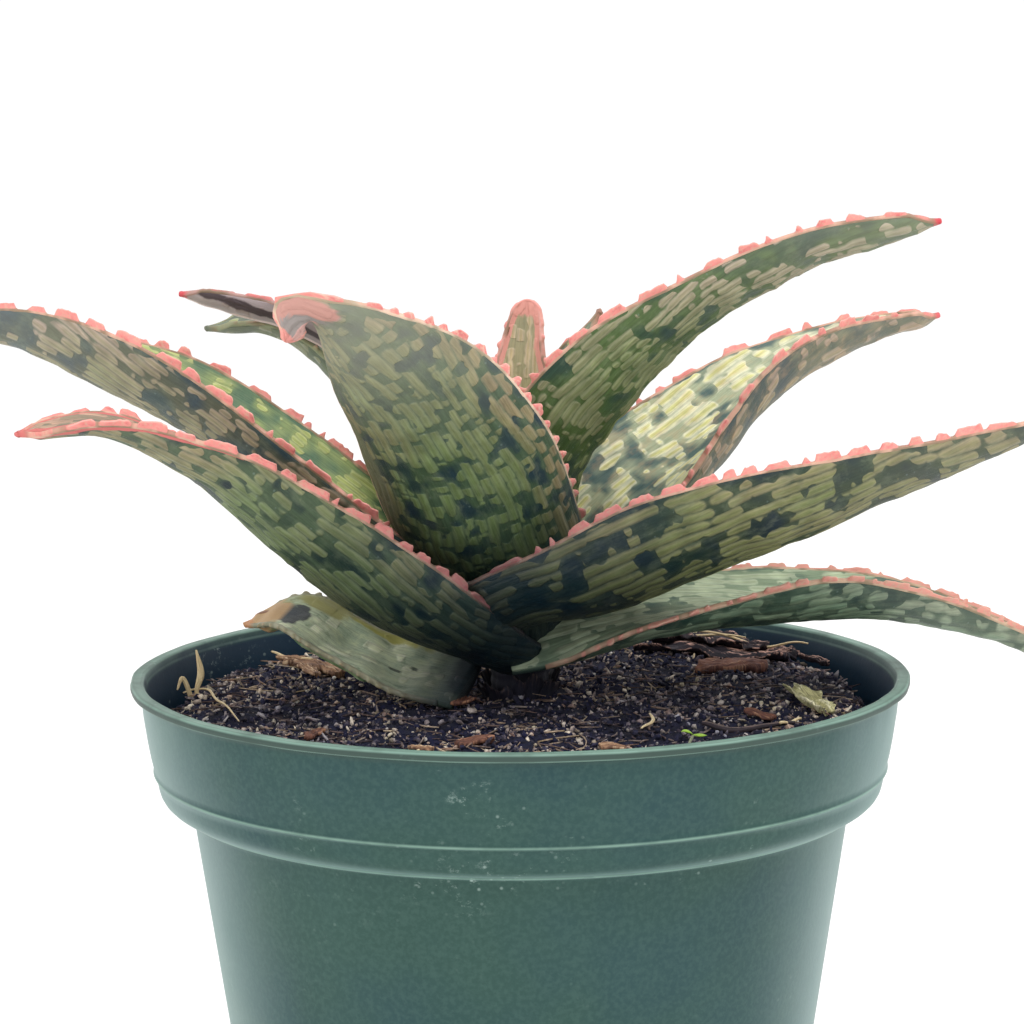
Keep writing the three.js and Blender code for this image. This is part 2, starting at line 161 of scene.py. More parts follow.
# a value on its way through a material's nodes
class Flow:
    def __init__(self, bench, socket):
        self.bench, self.socket = bench, socket

    def maths(self, operation, other=0.0):
        return self.bench.add("Math", {0: self, 1: other}, operation=operation)

    def __add__(self, other):
        return self.maths("ADD", other)

    def __sub__(self, other):
        return self.maths("SUBTRACT", other)

    def __mul__(self, other):
        return self.maths("MULTIPLY", other)

    def __truediv__(self, other):
        return self.maths("DIVIDE", other)

    def inverse(self):
        return self.bench.add("Math", {0: 1.0, 1: self}, operation="SUBTRACT")

    def stretch(self, *scale):
        return self.bench.add("VectorMath", {0: self, 1: scale}, operation="MULTIPLY")

    def split(self):
        node = self.bench.add("SeparateXYZ", {0: self}).socket.node
        return [Flow(self.bench, socket) for socket in node.outputs]

    def noise(self, scale=1.0, detail=3.0, rough=0.55):
        inputs = {"Vector": self, "Scale": scale, "Detail": detail, "Roughness": rough}
        return self.bench.add("TexNoise", inputs, "Fac")

    def cells(self, scale):
        return self.bench.add("TexVoronoi", {"Vector": self, "Scale": scale}, "Distance")

    def remap(self, low, high, newLow=0.0, newHigh=1.0, shape="SMOOTHSTEP"):
        inputs = {"Value": self, 1: low, 2: high, 3: newLow, 4: newHigh}
        return self.bench.add("MapRange", inputs, interpolation_type=shape)

    def line(self, low, high, newLow=0.0, newHigh=1.0):
        return self.remap(low, high, newLow, newHigh, "LINEAR")

    # this tint with some of another one over it
    def under(self, share, tint, mode="MIX"):
        return self.bench.mix(share, self, tint, mode)

    # this tint made lighter or darker by a number round 1
    def shaded(self, strength):
        return self.under(1.0, self.bench.join(strength, strength, strength), "MULTIPLY")

    def ramp(self, stops):
        node = self.bench.add("ValToRGB", {0: self}).socket.node
        elements = node.color_ramp.elements
        while len(elements) < len(stops):
            elements.new(0.5)
        for element, (place, *tint) in zip(elements, stops):
            element.position, element.color = place, colour(*tint)
        return Flow(self.bench, node.outputs[0])


class NodeBench:
    def __init__(self, name):
        self.material = bpy.data.materials.new(name)
        self.material.use_nodes = True
        self.tree = self.material.node_tree
        self.shader = self.tree.nodes["Principled BSDF"]

    def add(self, kind, inputs, out=0, **settings):
        made = self.tree.nodes.new("ShaderNode" + kind)
        for key, value in settings.items():
            setattr(made, key, value)
        for key, value in inputs.items():
            self.feed(made.inputs[key], value)
        return Flow(self, made.outputs[out])

    def feed(self, socket, value):
        if isinstance(value, Flow):
            self.tree.links.new(value.socket, socket)
        else:
            socket.default_value = value

    def attribute(self, name, out="Fac"):
        return self.add("Attribute", {}, out, attribute_name=name)

    def position(self):
        return self.add("TexCoord", {}, "Object")

    def join(self, x, y, z):
        return self.add("CombineXYZ", {0: x, 1: y, 2: z})

    def mix(self, share, a, b, mode="MIX"):
        a, b = (tint if isinstance(tint, Flow) else colour(*tint) for tint in (a, b))
        return self.add("Mix", {0: share, 6: a, 7: b}, 2, data_type="RGBA", blend_type=mode)

    def bump(self, height, distance, strength):
        inputs = {"Height": height, "Distance": distance * mm, "Strength": strength}
        self.feed(self.shader.inputs["Normal"], self.add("Bump", inputs))

    def surface(self, tint, roughness, **constants):
        self.feed(self.shader.inputs["Base Color"], tint)
        self.feed(self.shader.inputs["Roughness"], roughness)
        for key, value in constants.items():
            self.shader.inputs[key.replace("_", " ")].default_value = value
        return self.material


# Camera, floor and light

cameraSpec = {
    "place": (0, -392.7, 168.0),
    "turn": -0.0023,  # radians, about the vertical
    "dip": 0.1370,  # radians below level
    "roll": -0.0077,
    "lens": 102.48, "sensor": 36,
    "reach": (0.01, 100),  # nearest and farthest distance shown, in metres
}


def addCamera(spec):
    turn, dip, roll = spec["turn"], spec["dip"], spec["roll"]
    ahead = Vector((math.sin(turn) * math.cos(dip), math.cos(turn) * math.cos(dip), -math.sin(dip)))
    level = ahead.cross(Vector((0, 0, 1))).normalized()
    upright = level.cross(ahead)
    right = level * math.cos(roll) + upright * math.sin(roll)
    up = upright * math.cos(roll) - level * math.sin(roll)
    data = bpy.data.cameras.new("camera")
    data.sensor_width, data.lens = spec["sensor"], spec["lens"]
    data.clip_start, data.clip_end = spec["reach"]
    camera = addObject("camera", data)
    turned = Matrix((right, up, -ahead)).transposed().to_4x4()
    camera.matrix_world = Matrix.Translation(Vector(spec["place"]) * mm) @ turned
    bpy.context.scene.camera = camera


stageSpec = {
    "floorSize": 12000, "floorTint": (252, 252, 251), "floorRoughness": 0.8,
    "sky": 1.05,
    "lamps": {  # place, aim and size in metres, power in watts
        "keyLamp": {"place": (0.35, -0.25, 1.1), "aim": (0, 0, 0.1), "size": 0.8, "power": 5},
        "fillLamp": {"place": (-0.9, -0.7, 0.5), "aim": (0, 0, 0.1), "size": 0.8, "power": 1.5},
    },
}


def addStage(spec):
    half = spec["floorSize"] / 2
    corners = [(-half, -half, 0), (half, -half, 0), (half, half, 0), (-half, half, 0)]
    mesh = newMesh("floor", corners, [(0, 1, 2, 3)])
    mesh.materials.append(NodeBench("paleFloor").surface(colour(*spec["floorTint"]), spec["floorRoughness"]))
    floor = addObject("floor", mesh)
    world = bpy.data.worlds.new("studio")
    world.use_nodes = True
    sky = world.node_tree.nodes["Background"]
    sky.inputs["Color"].default_value = (1, 1, 1, 1)
    sky.inputs["Strength"].default_value = spec["sky"]
    bpy.context.scene.world = world
    for name, lamp in spec["lamps"].items():
        data = bpy.data.lights.new(name, "AREA")
        data.shape, data.size, data.energy = "DISK", lamp["size"], lamp["power"]
        made = addObject(name, data)
        made.location = Vector(lamp["place"])
        made.rotation_euler = (made.location - Vector(lamp["aim"])).to_track_quat("Z", "Y").to_euler()
    bpy.context.scene.view_settings.view_transform = "Standard"


addCamera(cameraSpec)
addStage(stageSpec)
print("camera, floor and light ready")


# Pot

potSpec = {
    "segments": 240,
    "lipRadius": 53, "lipWave": 0.25,
    "lipBand": (86, 91), "lipTop": (90.4, 90.8), "lipInner": (51, 51.5),  # heights and radii
    "drainHoles": 6, "holeRadius": 3.5, "holeRing": 23, "holeSides": 28, "holeTurn": 0.3,
    "holeReach": (-1, 5),  # lowest and highest point of the drill
    "sharpFrom": 50,  # degrees
    "outside": [  # radius and height, from the middle of the underside up to the lip
        (0, 0), (8, 0), (16, 0), (16.4, 0.6), (16.8, 2.1), (17.3, 2.5), (23, 2.5), (28.7, 2.5),
        (29.2, 2.1), (29.6, 0.6), (30, 0), (33.2, 0), (33.9, 0.25), (34.15, 1), (35.18, 8), (36.66, 18),
        (38.14, 28), (39.62, 38), (41.1, 48), (42.57, 58), (43.83, 66.5), (44.64, 72), (44.88, 73.6),
        (45.0, 74.2), (45.25, 74.55), (45.8, 74.75), (46.6, 74.95), (47.0, 75.02), (47.2, 75.12),
        (47.35, 75.3), (48.0, 75.62), (48.5, 75.95), (48.95, 76.4), (49.28, 77.0), (49.45, 77.6),
        (49.62, 78.5), (49.78, 79.3), (50.02, 79.45), (50.15, 79.65), (50.12, 79.9), (50.02, 80.05),
        (50.15, 80.7), (50.45, 82), (50.8, 84), (51.3, 87.4), (51.58, 90), (51.64, 90.6),
        (51.85, 90.85), (52.6, 90.9), (52.93, 91.0), (53.0, 91.2), (53.0, 91.65), (52.9, 91.9),
        (52.7, 92), (52.2, 91.93), (51.75, 91.95), (51.55, 92), (51.3, 91.9), (51.15, 91.6),
    ],
    "inside": [  # from the lip down to the middle of the floor
        (50.72, 90.4), (50.25, 88), (49.5, 84), (48.85, 80.5), (48.4, 77.85), (47.9, 77.1),
        (46.6, 76.15), (44.1, 75.35), (43.9, 74.6), (42.0, 61.9), (38, 34.9), (34.5, 11.3),
        (33.05, 1.8), (30.8, 1.3), (29.2, 3.8), (16.2, 3.8), (15, 1.3), (0, 1.3),
    ],
    # heights and outer radii that part the inside wall from the outside
    "wallHeights": [0, 74.4, 75.2, 77.2, 90.6, 92], "wallRadii": [34, 45, 47.2, 49.3, 51.6, 51.6],
    # heights of the painted highlight lines along the collar and lip edges
    "highlightLines": (79.7, 75.2, 91.9, 90.9),
    "tints": {
        "deep": (42, 71, 74), "green": (49, 78, 71), "cloud": (66, 94, 88), "grain": (84, 112, 104),
        # painted light on the next line: a pale sheen tint for the outside seen at grazing angles, and a
        # near-black shade tint for the inner wall
        "grazingSheen": (150, 178, 174), "inside": (0, 44, 64), "lip": (63, 80, 74),
        # the first tint on the next line is the pale colour of the painted edge highlights
        "streaked": (132, 164, 150), "chalk": (190, 212, 204),
    },
    "gloss": 1.32,  # IOR of the plastic
}


def latheForm(profile, segments):
    turn = ringTurns(segments)
    body = np.array(profile[1:-1], float)
    points = np.stack([
        body[:, :1] * np.cos(turn), body[:, :1] * np.sin(turn), np.repeat(body[:, 1:], segments, 1),
    ], -1).reshape(-1, 3)
    faces = ringFaces(len(body), segments, caps=False)
    first, last = len(points), len(points) + 1
    top = (len(body) - 1) * segments
    for k in range(segments):
        after = (k + 1) % segments
        faces.append([first, after, k])
        faces.append([last, top + k, top + after])
    ends = [(0, 0, profile[0][1]), (0, 0, profile[-1][1])]
    return np.vstack([points, ends]), faces


def potMaterial(spec):
    tints = spec["tints"]
    bench = NodeBench("mouldedGreenPlastic")
    place = bench.position()
    tint = bench.mix(place.noise(28, 3, 0.6).remap(0.35, 0.68), tints["deep"], tints["green"])
    cloud = place.stretch(1, 1, 0.7).noise(60, 4, 0.65)
    tint = tint.under(cloud.remap(0.3, 0.8, 0.0, 0.25), tints["cloud"])
    grain = place.noise(1500, 2, 0.6)
    tint = tint.under(grain.remap(0.35, 0.7, 0.0, 0.2), tints["grain"])
    # painted sheen: the outside lightens where it is seen along its surface
    facing = bench.add("LayerWeight", {"Blend": 0.5}, "Facing")
    inside = bench.attribute("inside")
    outside = inside.inverse()
    tint = tint.under(facing.remap(0.35, 1.0, 0.0, 0.6) * outside, tints["grazingSheen"])
    # painted shade darkens the inner wall; the lip top takes its own tint
    tint = tint.under(inside, tints["inside"]).under(bench.attribute("lip"), tints["lip"])
    height = place.split()[2]
    # painted highlights: pale lines along the collar and lip edges, broken up by noise
    for level in spec["highlightLines"]:
        near = (height - level * mm).maths("ABSOLUTE").remap(0.0, 0.3 * mm)
        streaked = near.inverse() * place.noise(160, 3).remap(0.25, 0.6, 0.35, 0.8) * outside
        tint = tint.under(streaked, tints["streaked"])
    # mineral specks, thickest on the front of the collar
    fleck = place.stretch(1, 0.6, 1).cells(620).remap(0.05, 0.2).inverse()
    crowd = place.noise(55, 4, 0.7).remap(0.52, 0.72)
    scuffs = place.stretch(1, 1, 1.4).noise(420, 5, 0.8)
    chalk = (crowd * scuffs.remap(0.55, 0.72)).maths("MAXIMUM", crowd * fleck)
    chalk = chalk * (height.remap(66 * mm, 78 * mm) * 0.75).maths("MAXIMUM", 0.12)
    tint = tint.under(chalk, tints["chalk"])
    bench.bump(grain * 0.5 + chalk, 0.1, 0.5)
    return bench.surface(tint, cloud.remap(0.3, 0.8, 0.42, 0.54), IOR=spec["gloss"])


def drillPot(pot, spec):
    around, sides = ringTurns(spec["holeSides"]), spec["holeSides"]
    rings, faces = [], []
    for i in range(spec["drainHoles"]):
        angle = i * fullTurn / spec["drainHoles"] + spec["holeTurn"]
        middle = np.array([math.cos(angle), math.sin(angle)]) * spec["holeRing"]
        circle = middle + spec["holeRadius"] * np.stack([np.cos(around), np.sin(around)], -1)
        for z in spec["holeReach"]:
            rings.append(np.column_stack([circle, np.full(sides, z)]))
        faces += [[v + 2 * sides * i for v in face] for face in ringFaces(2, sides)]
    cutter = addObject("holeCutter", newMesh("holeCutter", np.vstack(rings), faces))
    cut = pot.modifiers.new("drainHoles", "BOOLEAN")
    cut.operation, cut.solver, cut.object = "DIFFERENCE", "EXACT", cutter
    drilled = bpy.data.meshes.new_from_object(pot.evaluated_get(bpy.context.evaluated_depsgraph_get()))
    pot.modifiers.clear()
    pot.data = drilled
    bpy.data.objects.remove(cutter)
    drilled.set_sharp_from_angle(angle=math.radians(spec["sharpFrom"]))


def buildPot(spec):
    points, faces = latheForm(spec["outside"] + spec["inside"], spec["segments"])
    turn = np.arctan2(points[:, 1], points[:, 0])
    lip = smoothStep(points[:, 2], *spec["lipBand"])
    wave = sway(turn * 4, points[:, 2] * 0.02, 11) + 0.5 * sway(turn * 15, 0, 5)
    points[:, :2] *= (1 + lip * wave * spec["lipWave"] / spec["lipRadius"])[:, None]
    points[:, 2] += lip * 0.3 * spec["lipWave"] * sway(turn * 7, 0, 3)
    pot = addPiece("pot_fine", (points, faces, {}), potMaterial(spec), ["pot"])
    drillPot(pot, spec)
    place = np.zeros(len(pot.data.vertices) * 3)
    pot.data.vertices.foreach_get("co", place)
    x, y, z = place.reshape(-1, 3).T / mm
    r = np.hypot(x, y)
    lip = smoothStep(z, *spec["lipTop"]) * smoothStep(r, *spec["lipInner"])
    depth = r - np.interp(z, spec["wallHeights"], spec["wallRadii"])
    inside = (1 - smoothStep(depth, -0.62, -0.42)) * smoothStep(z, 1.25, 1.35) * (1 - lip)
    giveValues(pot.data, {"inside": inside, "lip": lip})


buildPot(potSpec)
print("pot ready")


# Soil

soilSpec = {
    "level": 88.6, "edgeDrop": 0.8,
    "grid": 190,  # cells across the surface
    "radius": 48.9,
    # radius and height of the rings down the side of the soil, which end in its flat bottom
    "side": [(48.5, 81.5), (47.9, 78.6), (47.5, 78), (46.1, 76.7), (43.5, 76), (32.5, 4.2)],
    # loose bits: how many, smallest and largest size, shape, spread of light and dark
    "crumbs": (9800, (0.25, 1.1), (1, 0.8, 0.65), (0.9, 1.4)),
    "clods": (900, (0.6, 1.4), (1, 0.8, 0.6), (0.9, 1.7)),
    "flakes": (1700, (0.4, 1.8), (1.2, 0.45, 0.2), (1.3, 1.2)),
    "grit": (560, (0.25, 0.75), (1, 0.9, 0.8)),
    "sink": 0.15, "gritSink": -0.1,  # how deep they lie, as a share of their size
    "bitReach": 47.6, "fibreReach": 46.8,  # how far from the middle
    "sideLight": 0.19,  # how much paler the crumbs toward the left and right walls are: painted light, leaving the middle under the leaves darker as painted shade
    "fibres": 1200,
    "fibreBend": 0.35, "fibreTilt": 0.12, "fibreRadius": (0.06, 0.17), "fibreLift": (0.1, 0.5),
    "fibreShades": (1.6, 2), "gritShades": (0.1, 0.9),
    "seed": 4,
    # tints from dark to pale
    # the bed shows between the crumbs in near-black navy: dark soil with painted bluish shade
    "bedTints": [(0.0, 3, 8, 38), (0.3, 10, 17, 56), (0.6, 38, 41, 74), (1.0, 104, 95, 98)],
    # the crumbs' navy dark end is painted bluish shade too
    "peatTints": [
        (0.0, 6, 10, 44), (0.2, 18, 23, 60), (0.4, 60, 57, 76), (0.58, 114, 104, 108), (0.76, 178, 160, 148),
        (1.0, 236, 222, 202),
    ],
    "gritTints": [(0.0, 150, 140, 135), (0.5, 200, 192, 184), (1.0, 236, 232, 226)],
    "fibreTints": [(0.0, 58, 46, 52), (0.4, 112, 92, 86), (0.7, 172, 148, 126), (1.0, 222, 202, 168)],
    # the last tint on the next line is a painted bluish shade laid over broad patches
    "redCast": (232, 184, 160), "oliveCast": (220, 218, 176), "blueShade": (94, 108, 172),
}


def soilHeight(x, y):
    waves = np.sin(0.19 * x + 1.1) * np.cos(0.16 * y - 0.6) + 0.6 * np.sin(0.37 * x - 0.29 * y)
    edge = smoothStep(np.hypot(x, y), 41, 51)
    rise = 0.7 * smoothStep(0.7 * x + 0.7 * y, 18, 45)
    return soilSpec["level"] + 0.42 * waves - soilSpec["edgeDrop"] * edge + rise


def soilRelief(x, y):
    lumps = sway(x * 0.45, y * 0.45, 21)
    clods = np.abs(sway(x * 1.1, y * 1.1, 22))
    crumb = np.abs(sway(x * 2.3 + 7, y * 2.3, 23))
    r = np.hypot(x, y)
    sideways = np.abs(x) / np.maximum(r, 1)
    slump = smoothStep(r + 1.6 * lumps, 45, 49) * (1.4 + 1.8 * sideways)
    return soilHeight(x, y) + 0.9 * lumps + 0.9 * clods + 0.5 * crumb - 0.5 - slump


def soilMaterial(name, spec, stops):
    bench = NodeBench(name)
    place = bench.position()
    tone = bench.attribute("tone") + place.noise(1700, 4, 0.7) - 0.5
    hue = place.noise(330, 1)
    tint = tone.ramp(stops)
    tint = tint.under(hue.remap(0.58, 0.68, 0.0, 0.5), spec["redCast"], "MULTIPLY")
    tint = tint.under(hue.remap(0.42, 0.34, 0.0, 0.5), spec["oliveCast"], "MULTIPLY")
    # painted bluish shade in broad patches
    tint = tint.under(place.noise(60, 2).remap(0.4, 0.65, 0.0, 0.6), spec["blueShade"], "MULTIPLY")
    bench.bump(place.noise(2600, 4, 0.75), 0.25, 0.8)
    return bench.surface(tint, 0.9)


# a square grid pressed into a disc of radius 1
def discGrid(cells):
    a, b = np.meshgrid(np.linspace(-1, 1, cells + 1), np.linspace(-1, 1, cells + 1), indexing="ij")
    wide = np.abs(a) > np.abs(b)
    safeA, safeB = np.where(a == 0, 1, a), np.where(b == 0, 1, b)
    r = np.where(wide, a, b)
    turn = np.where(wide, np.pi / 4 * b / safeA, np.pi / 2 - np.pi / 4 * a / safeB)
    turn = np.where((a == 0) & (b == 0), 0, turn)
    return (r * np.cos(turn)).ravel(), (r * np.sin(turn)).ravel()


def buildSoilBed(spec):
    n = spec["grid"]
    x, y = discGrid(n)
    x, y = x * spec["radius"], y * spec["radius"]
    points = np.column_stack([x, y, soilRelief(x, y)])
    i, j = np.meshgrid(np.arange(n), np.arange(n), indexing="ij")
    a = i * (n + 1) + j
    faces = np.stack([a, a + n + 1, a + n + 2, a + 1], -1).reshape(-1, 4).tolist()
    side = np.arange(n)
    loop = np.concatenate([side * (n + 1), n * (n + 1) + side, (n - side) * (n + 1) + n, n - side])
    turn = np.arctan2(y[loop], x[loop])
    rows = [loop]
    for radius, level in spec["side"]:
        ring = np.column_stack([radius * np.cos(turn), radius * np.sin(turn), np.full(len(turn), level)])
        rows.append(len(points) + np.arange(len(loop)))
        points = np.vstack([points, ring])
    for upper, lower in zip(rows, rows[1:]):
        faces += np.stack([np.roll(upper, -1), upper, lower, np.roll(lower, -1)], -1).tolist()
    faces.append(rows[-1][::-1].tolist())
    tone = 0.05 + 0.4 * smoothNoise(points[:, 0] * 1.7, points[:, 1] * 1.7, 8) ** 2
    peat = soilMaterial("darkPeat", spec, spec["bedTints"])
    addPiece("soil_bed", (points, faces, {"tone": tone}), peat, ["soil"])


# random turns as a stack of matrices
def randomTurns(rng, count):
    q = unit(rng.normal(size=(count, 4)))
    w, x, y, z = q.T
    return np.stack([
        1 - 2 * (y * y + z * z), 2 * (x * y - z * w), 2 * (x * z + y * w),
        2 * (x * y + z * w), 1 - 2 * (x * x + z * z), 2 * (y * z - x * w),
        2 * (x * z - y * w), 2 * (y * z + x * w), 1 - 2 * (x * x + y * y),
    ], -1).reshape(count, 3, 3)


# the plain lump of twelve points that every loose bit is squeezed from
golden = (1 + 5 ** 0.5) / 2
lumpPoints = unit(np.array([
    (-1, golden, 0), (1, golden, 0), (-1, -golden, 0), (1, -golden, 0), (0, -1, golden), (0, 1, golden),
    (0, -1, -golden), (0, 1, -golden), (golden, 0, -1), (golden, 0, 1), (-golden, 0, -1), (-golden, 0, 1),
]))
lumpFaces = [
    (0, 11, 5), (0, 5, 1), (0, 1, 7), (0, 7, 10), (0, 10, 11), (1, 5, 9), (5, 11, 4), (11, 10, 2),
    (10, 7, 6), (7, 1, 8), (3, 9, 4), (3, 4, 2), (3, 2, 6), (3, 6, 8), (3, 8, 9), (4, 9, 5), (2, 4, 11),
    (6, 2, 10), (8, 6, 7), (9, 8, 1),
]


def spread(rng, count, reach):
    turn, r = rng.uniform(0, fullTurn, count), reach * np.sqrt(rng.uniform(0, 1, count))
    return r * np.cos(turn), r * np.sin(turn)


def lumps(rng, spec, sink, count, size, shape):
    x, y = spread(rng, count, spec["bitReach"])
    scale = size[0] + (size[1] - size[0]) * rng.uniform(0, 1, count) ** 2.2
    body = lumpPoints[None] * rng.uniform(0.45, 1.4, (count, len(lumpPoints), 1)) * np.array(shape)
    body = np.einsum("nij,nkj->nki", randomTurns(rng, count), body) * (scale / 2)[:, None, None]
    z = soilRelief(x, y) + scale * (0.5 - sink) * 0.6
    points = (body + np.stack([x, y, z], -1)[:, None]).reshape(-1, 3)
    base = (np.arange(count) * len(lumpPoints))[:, None, None]
    return points, (base + np.array(lumpFaces)).reshape(-1, 3).tolist()


def fibres(rng, spec, steps=5, sides=3):
    count = spec["fibres"]
    x, y = spread(rng, count, spec["fibreReach"])
    heading = rng.uniform(0, fullTurn, count)
    bend = rng.normal(0, spec["fibreBend"], count)
    length = 1.2 + 4.5 * rng.uniform(0, 1, count) ** 1.8
    tilt = rng.normal(0, spec["fibreTilt"], count)
    radius = rng.uniform(*spec["fibreRadius"], count)
    lift = rng.uniform(*spec["fibreLift"], count)
    points = np.zeros((count, steps, sides, 3))
    for k in range(steps):
        share = k / (steps - 1) - 0.5
        reach, way = length * share, heading + bend * share
        off = radius * (0.5 + math.sin(math.pi * (k + 0.5) / steps) * 0.6)
        for c in range(sides):
            angle = fullTurn * c / sides
            points[:, k, c, 0] = x + reach * np.cos(way) - np.sin(way) * off * math.cos(angle)
            points[:, k, c, 1] = y + reach * np.sin(way) + np.cos(way) * off * math.cos(angle)
            points[:, k, c, 2] = soilRelief(x, y) + lift + reach * tilt + off * math.sin(angle)
    one = ringFaces(steps, sides)
    faces = [[v + steps * sides * n for v in face] for n in range(count) for face in one]
    return points.reshape(-1, 3), faces


def buildSoil(spec):
    rng = np.random.default_rng(spec["seed"])
    buildSoilBed(spec)

    def addBits(key, form, tone, material):
        tone = np.repeat(tone, len(form[0]) // len(tone))
        addPiece("soil_" + key, (*form, {"tone": tone}), material)

    peat = soilMaterial("peatCrumb", spec, spec["peatTints"])
    for key in ("crumbs", "clods", "flakes"):
        count, size, shape, shades = spec[key]
        form = lumps(rng, spec, spec["sink"], count, size, shape)
        middle = form[0].reshape(count, -1, 3).mean(axis=1)
        # painted light toward the left and right walls, painted shade in the middle under the leaves
        tone = rng.beta(*shades, count) + spec["sideLight"] * smoothStep(np.abs(middle[:, 0]), 18, 44)
        addBits(key, form, tone, peat)
    form = lumps(rng, spec, spec["gritSink"], *spec["grit"])
    tone = rng.uniform(*spec["gritShades"], spec["grit"][0])
    addBits("grit", form, tone, soilMaterial("paleGrit", spec, spec["gritTints"]))
    form = fibres(rng, spec)
    tone = rng.beta(*spec["fibreShades"], spec["fibres"])
    addBits("fibres", form, tone, soilMaterial("tanFibre", spec, spec["fibreTints"]))


buildSoil(soilSpec)
print("soil ready")


# Litter on the soil, dry stalks, seedling and root neck

litterSpecs = {
    "dried_leaf_lower": {
        "from": (18, 30), "to": (39.8, 20.5), "width": 9, "thickness": 0.22, "lift": 0.4, "folds": 5,
        "foldHeight": 0.75, "curl": 0.4, "ragged": 0.3, "seed": 1,
        "tints": [(16, 13, 28), (40, 28, 40), (214, 168, 152)],
    },
    "dried_leaf_upper": {
        "from": (19, 33), "to": (36, 25), "width": 7, "thickness": 0.22, "lift": 1.4, "folds": 4,
        "foldHeight": 0.75, "curl": 0.3, "ragged": 0.35, "seed": 2,
        "tints": [(18, 14, 28), (50, 34, 42), (222, 180, 164)],
    },
    "bark_chip": {
        "from": (25.5, 16.5), "to": (35, 13.5), "width": 6, "thickness": 0.8, "lift": 0.5, "folds": 5,
        "foldHeight": 0.25, "curl": -0.2, "ragged": 0.25, "seed": 3,
        "tints": [(74, 46, 44), (124, 82, 66), (168, 128, 100)],
    },
    "dry_scrap": {
        "from": (37, -2.5), "to": (40.6, -16.5), "width": 3.1, "thickness": 0.25, "lift": 0.5, "folds": 1.5,
        "foldHeight": 0.5, "curl": 0.7, "ragged": 0.4, "seed": 4,
        "tints": [(146, 142, 104), (216, 210, 156), (250, 244, 208)],
    },
    "wood_chip_left": {
        "from": (-34, 25), "to": (-25, 13), "width": 3.2, "thickness": 0.5, "lift": 0.5, "folds": 3,
        "foldHeight": 0.35, "curl": 0.1, "ragged": 0.45, "seed": 5,
        "tints": [(98, 70, 56), (164, 126, 96), (216, 186, 152)],
    },
    "wood_chip_front": {
        "from": (-8, -34), "to": (-3.5, -32), "width": 2.8, "thickness": 0.5, "lift": 0.4, "folds": 2.5,
        "foldHeight": 0.25, "curl": 0.1, "ragged": 0.4, "seed": 6,
        "tints": [(70, 44, 40), (120, 78, 62), (170, 124, 96)],
    },
}
# loose bits of the same litter: from, to, width, lift, and the larger piece that lends its tints
looseScraps = [
    ((-32, 20), (-28.5, 12), 1.8, 0.6, "wood_chip_left"),
    ((-35.5, 27), (-31, 24), 1.3, 1.0, "wood_chip_left"),
    ((33, 29), (40, 24.5), 2.6, 0.9, "dried_leaf_upper"),
    ((-27, -30), (-25.5, -25), 2.0, 0.7, "wood_chip_front"),
    ((30, -14), (33.5, -16.5), 2.2, 0.6, "bark_chip"),
    ((40.5, 20.5), (44, 16), 1.3, 0.8, "dried_leaf_upper"),
    ((24, 33), (29, 36), 2.4, 1.0, "dry_scrap"),
    ((-7, -6.5), (-8.5, -11.5), 3.2, 0.9, "wood_chip_front"),
    ((-14, -33), (-11, -36), 1.6, 0.6, "wood_chip_left"),
    ((10, -38), (13, -36.5), 1.4, 0.6, "wood_chip_left"),
]


def scrapMaterial(name, tints):
    dark, middle, pale = tints
    bench = NodeBench(name)
    place = bench.attribute("grainPlace", "Vector")
    grain = place.stretch(0.35, 3.2, 1).noise(1.0, 5, 0.7)
    tint = bench.mix(grain.remap(0.35, 0.6), dark, middle)
    crest = bench.attribute("crest") * grain.remap(0.3, 0.65, 0.3, 1.0)
    tint = tint.under(crest.remap(0.5, 0.9), pale)
    tint = tint.under(place.noise(0.9, 4, 0.7).remap(0.5, 0.7, 0.0, 0.6), dark)
    bench.bump(grain, 0.25, 0.8)
    return bench.surface(tint, 0.75)


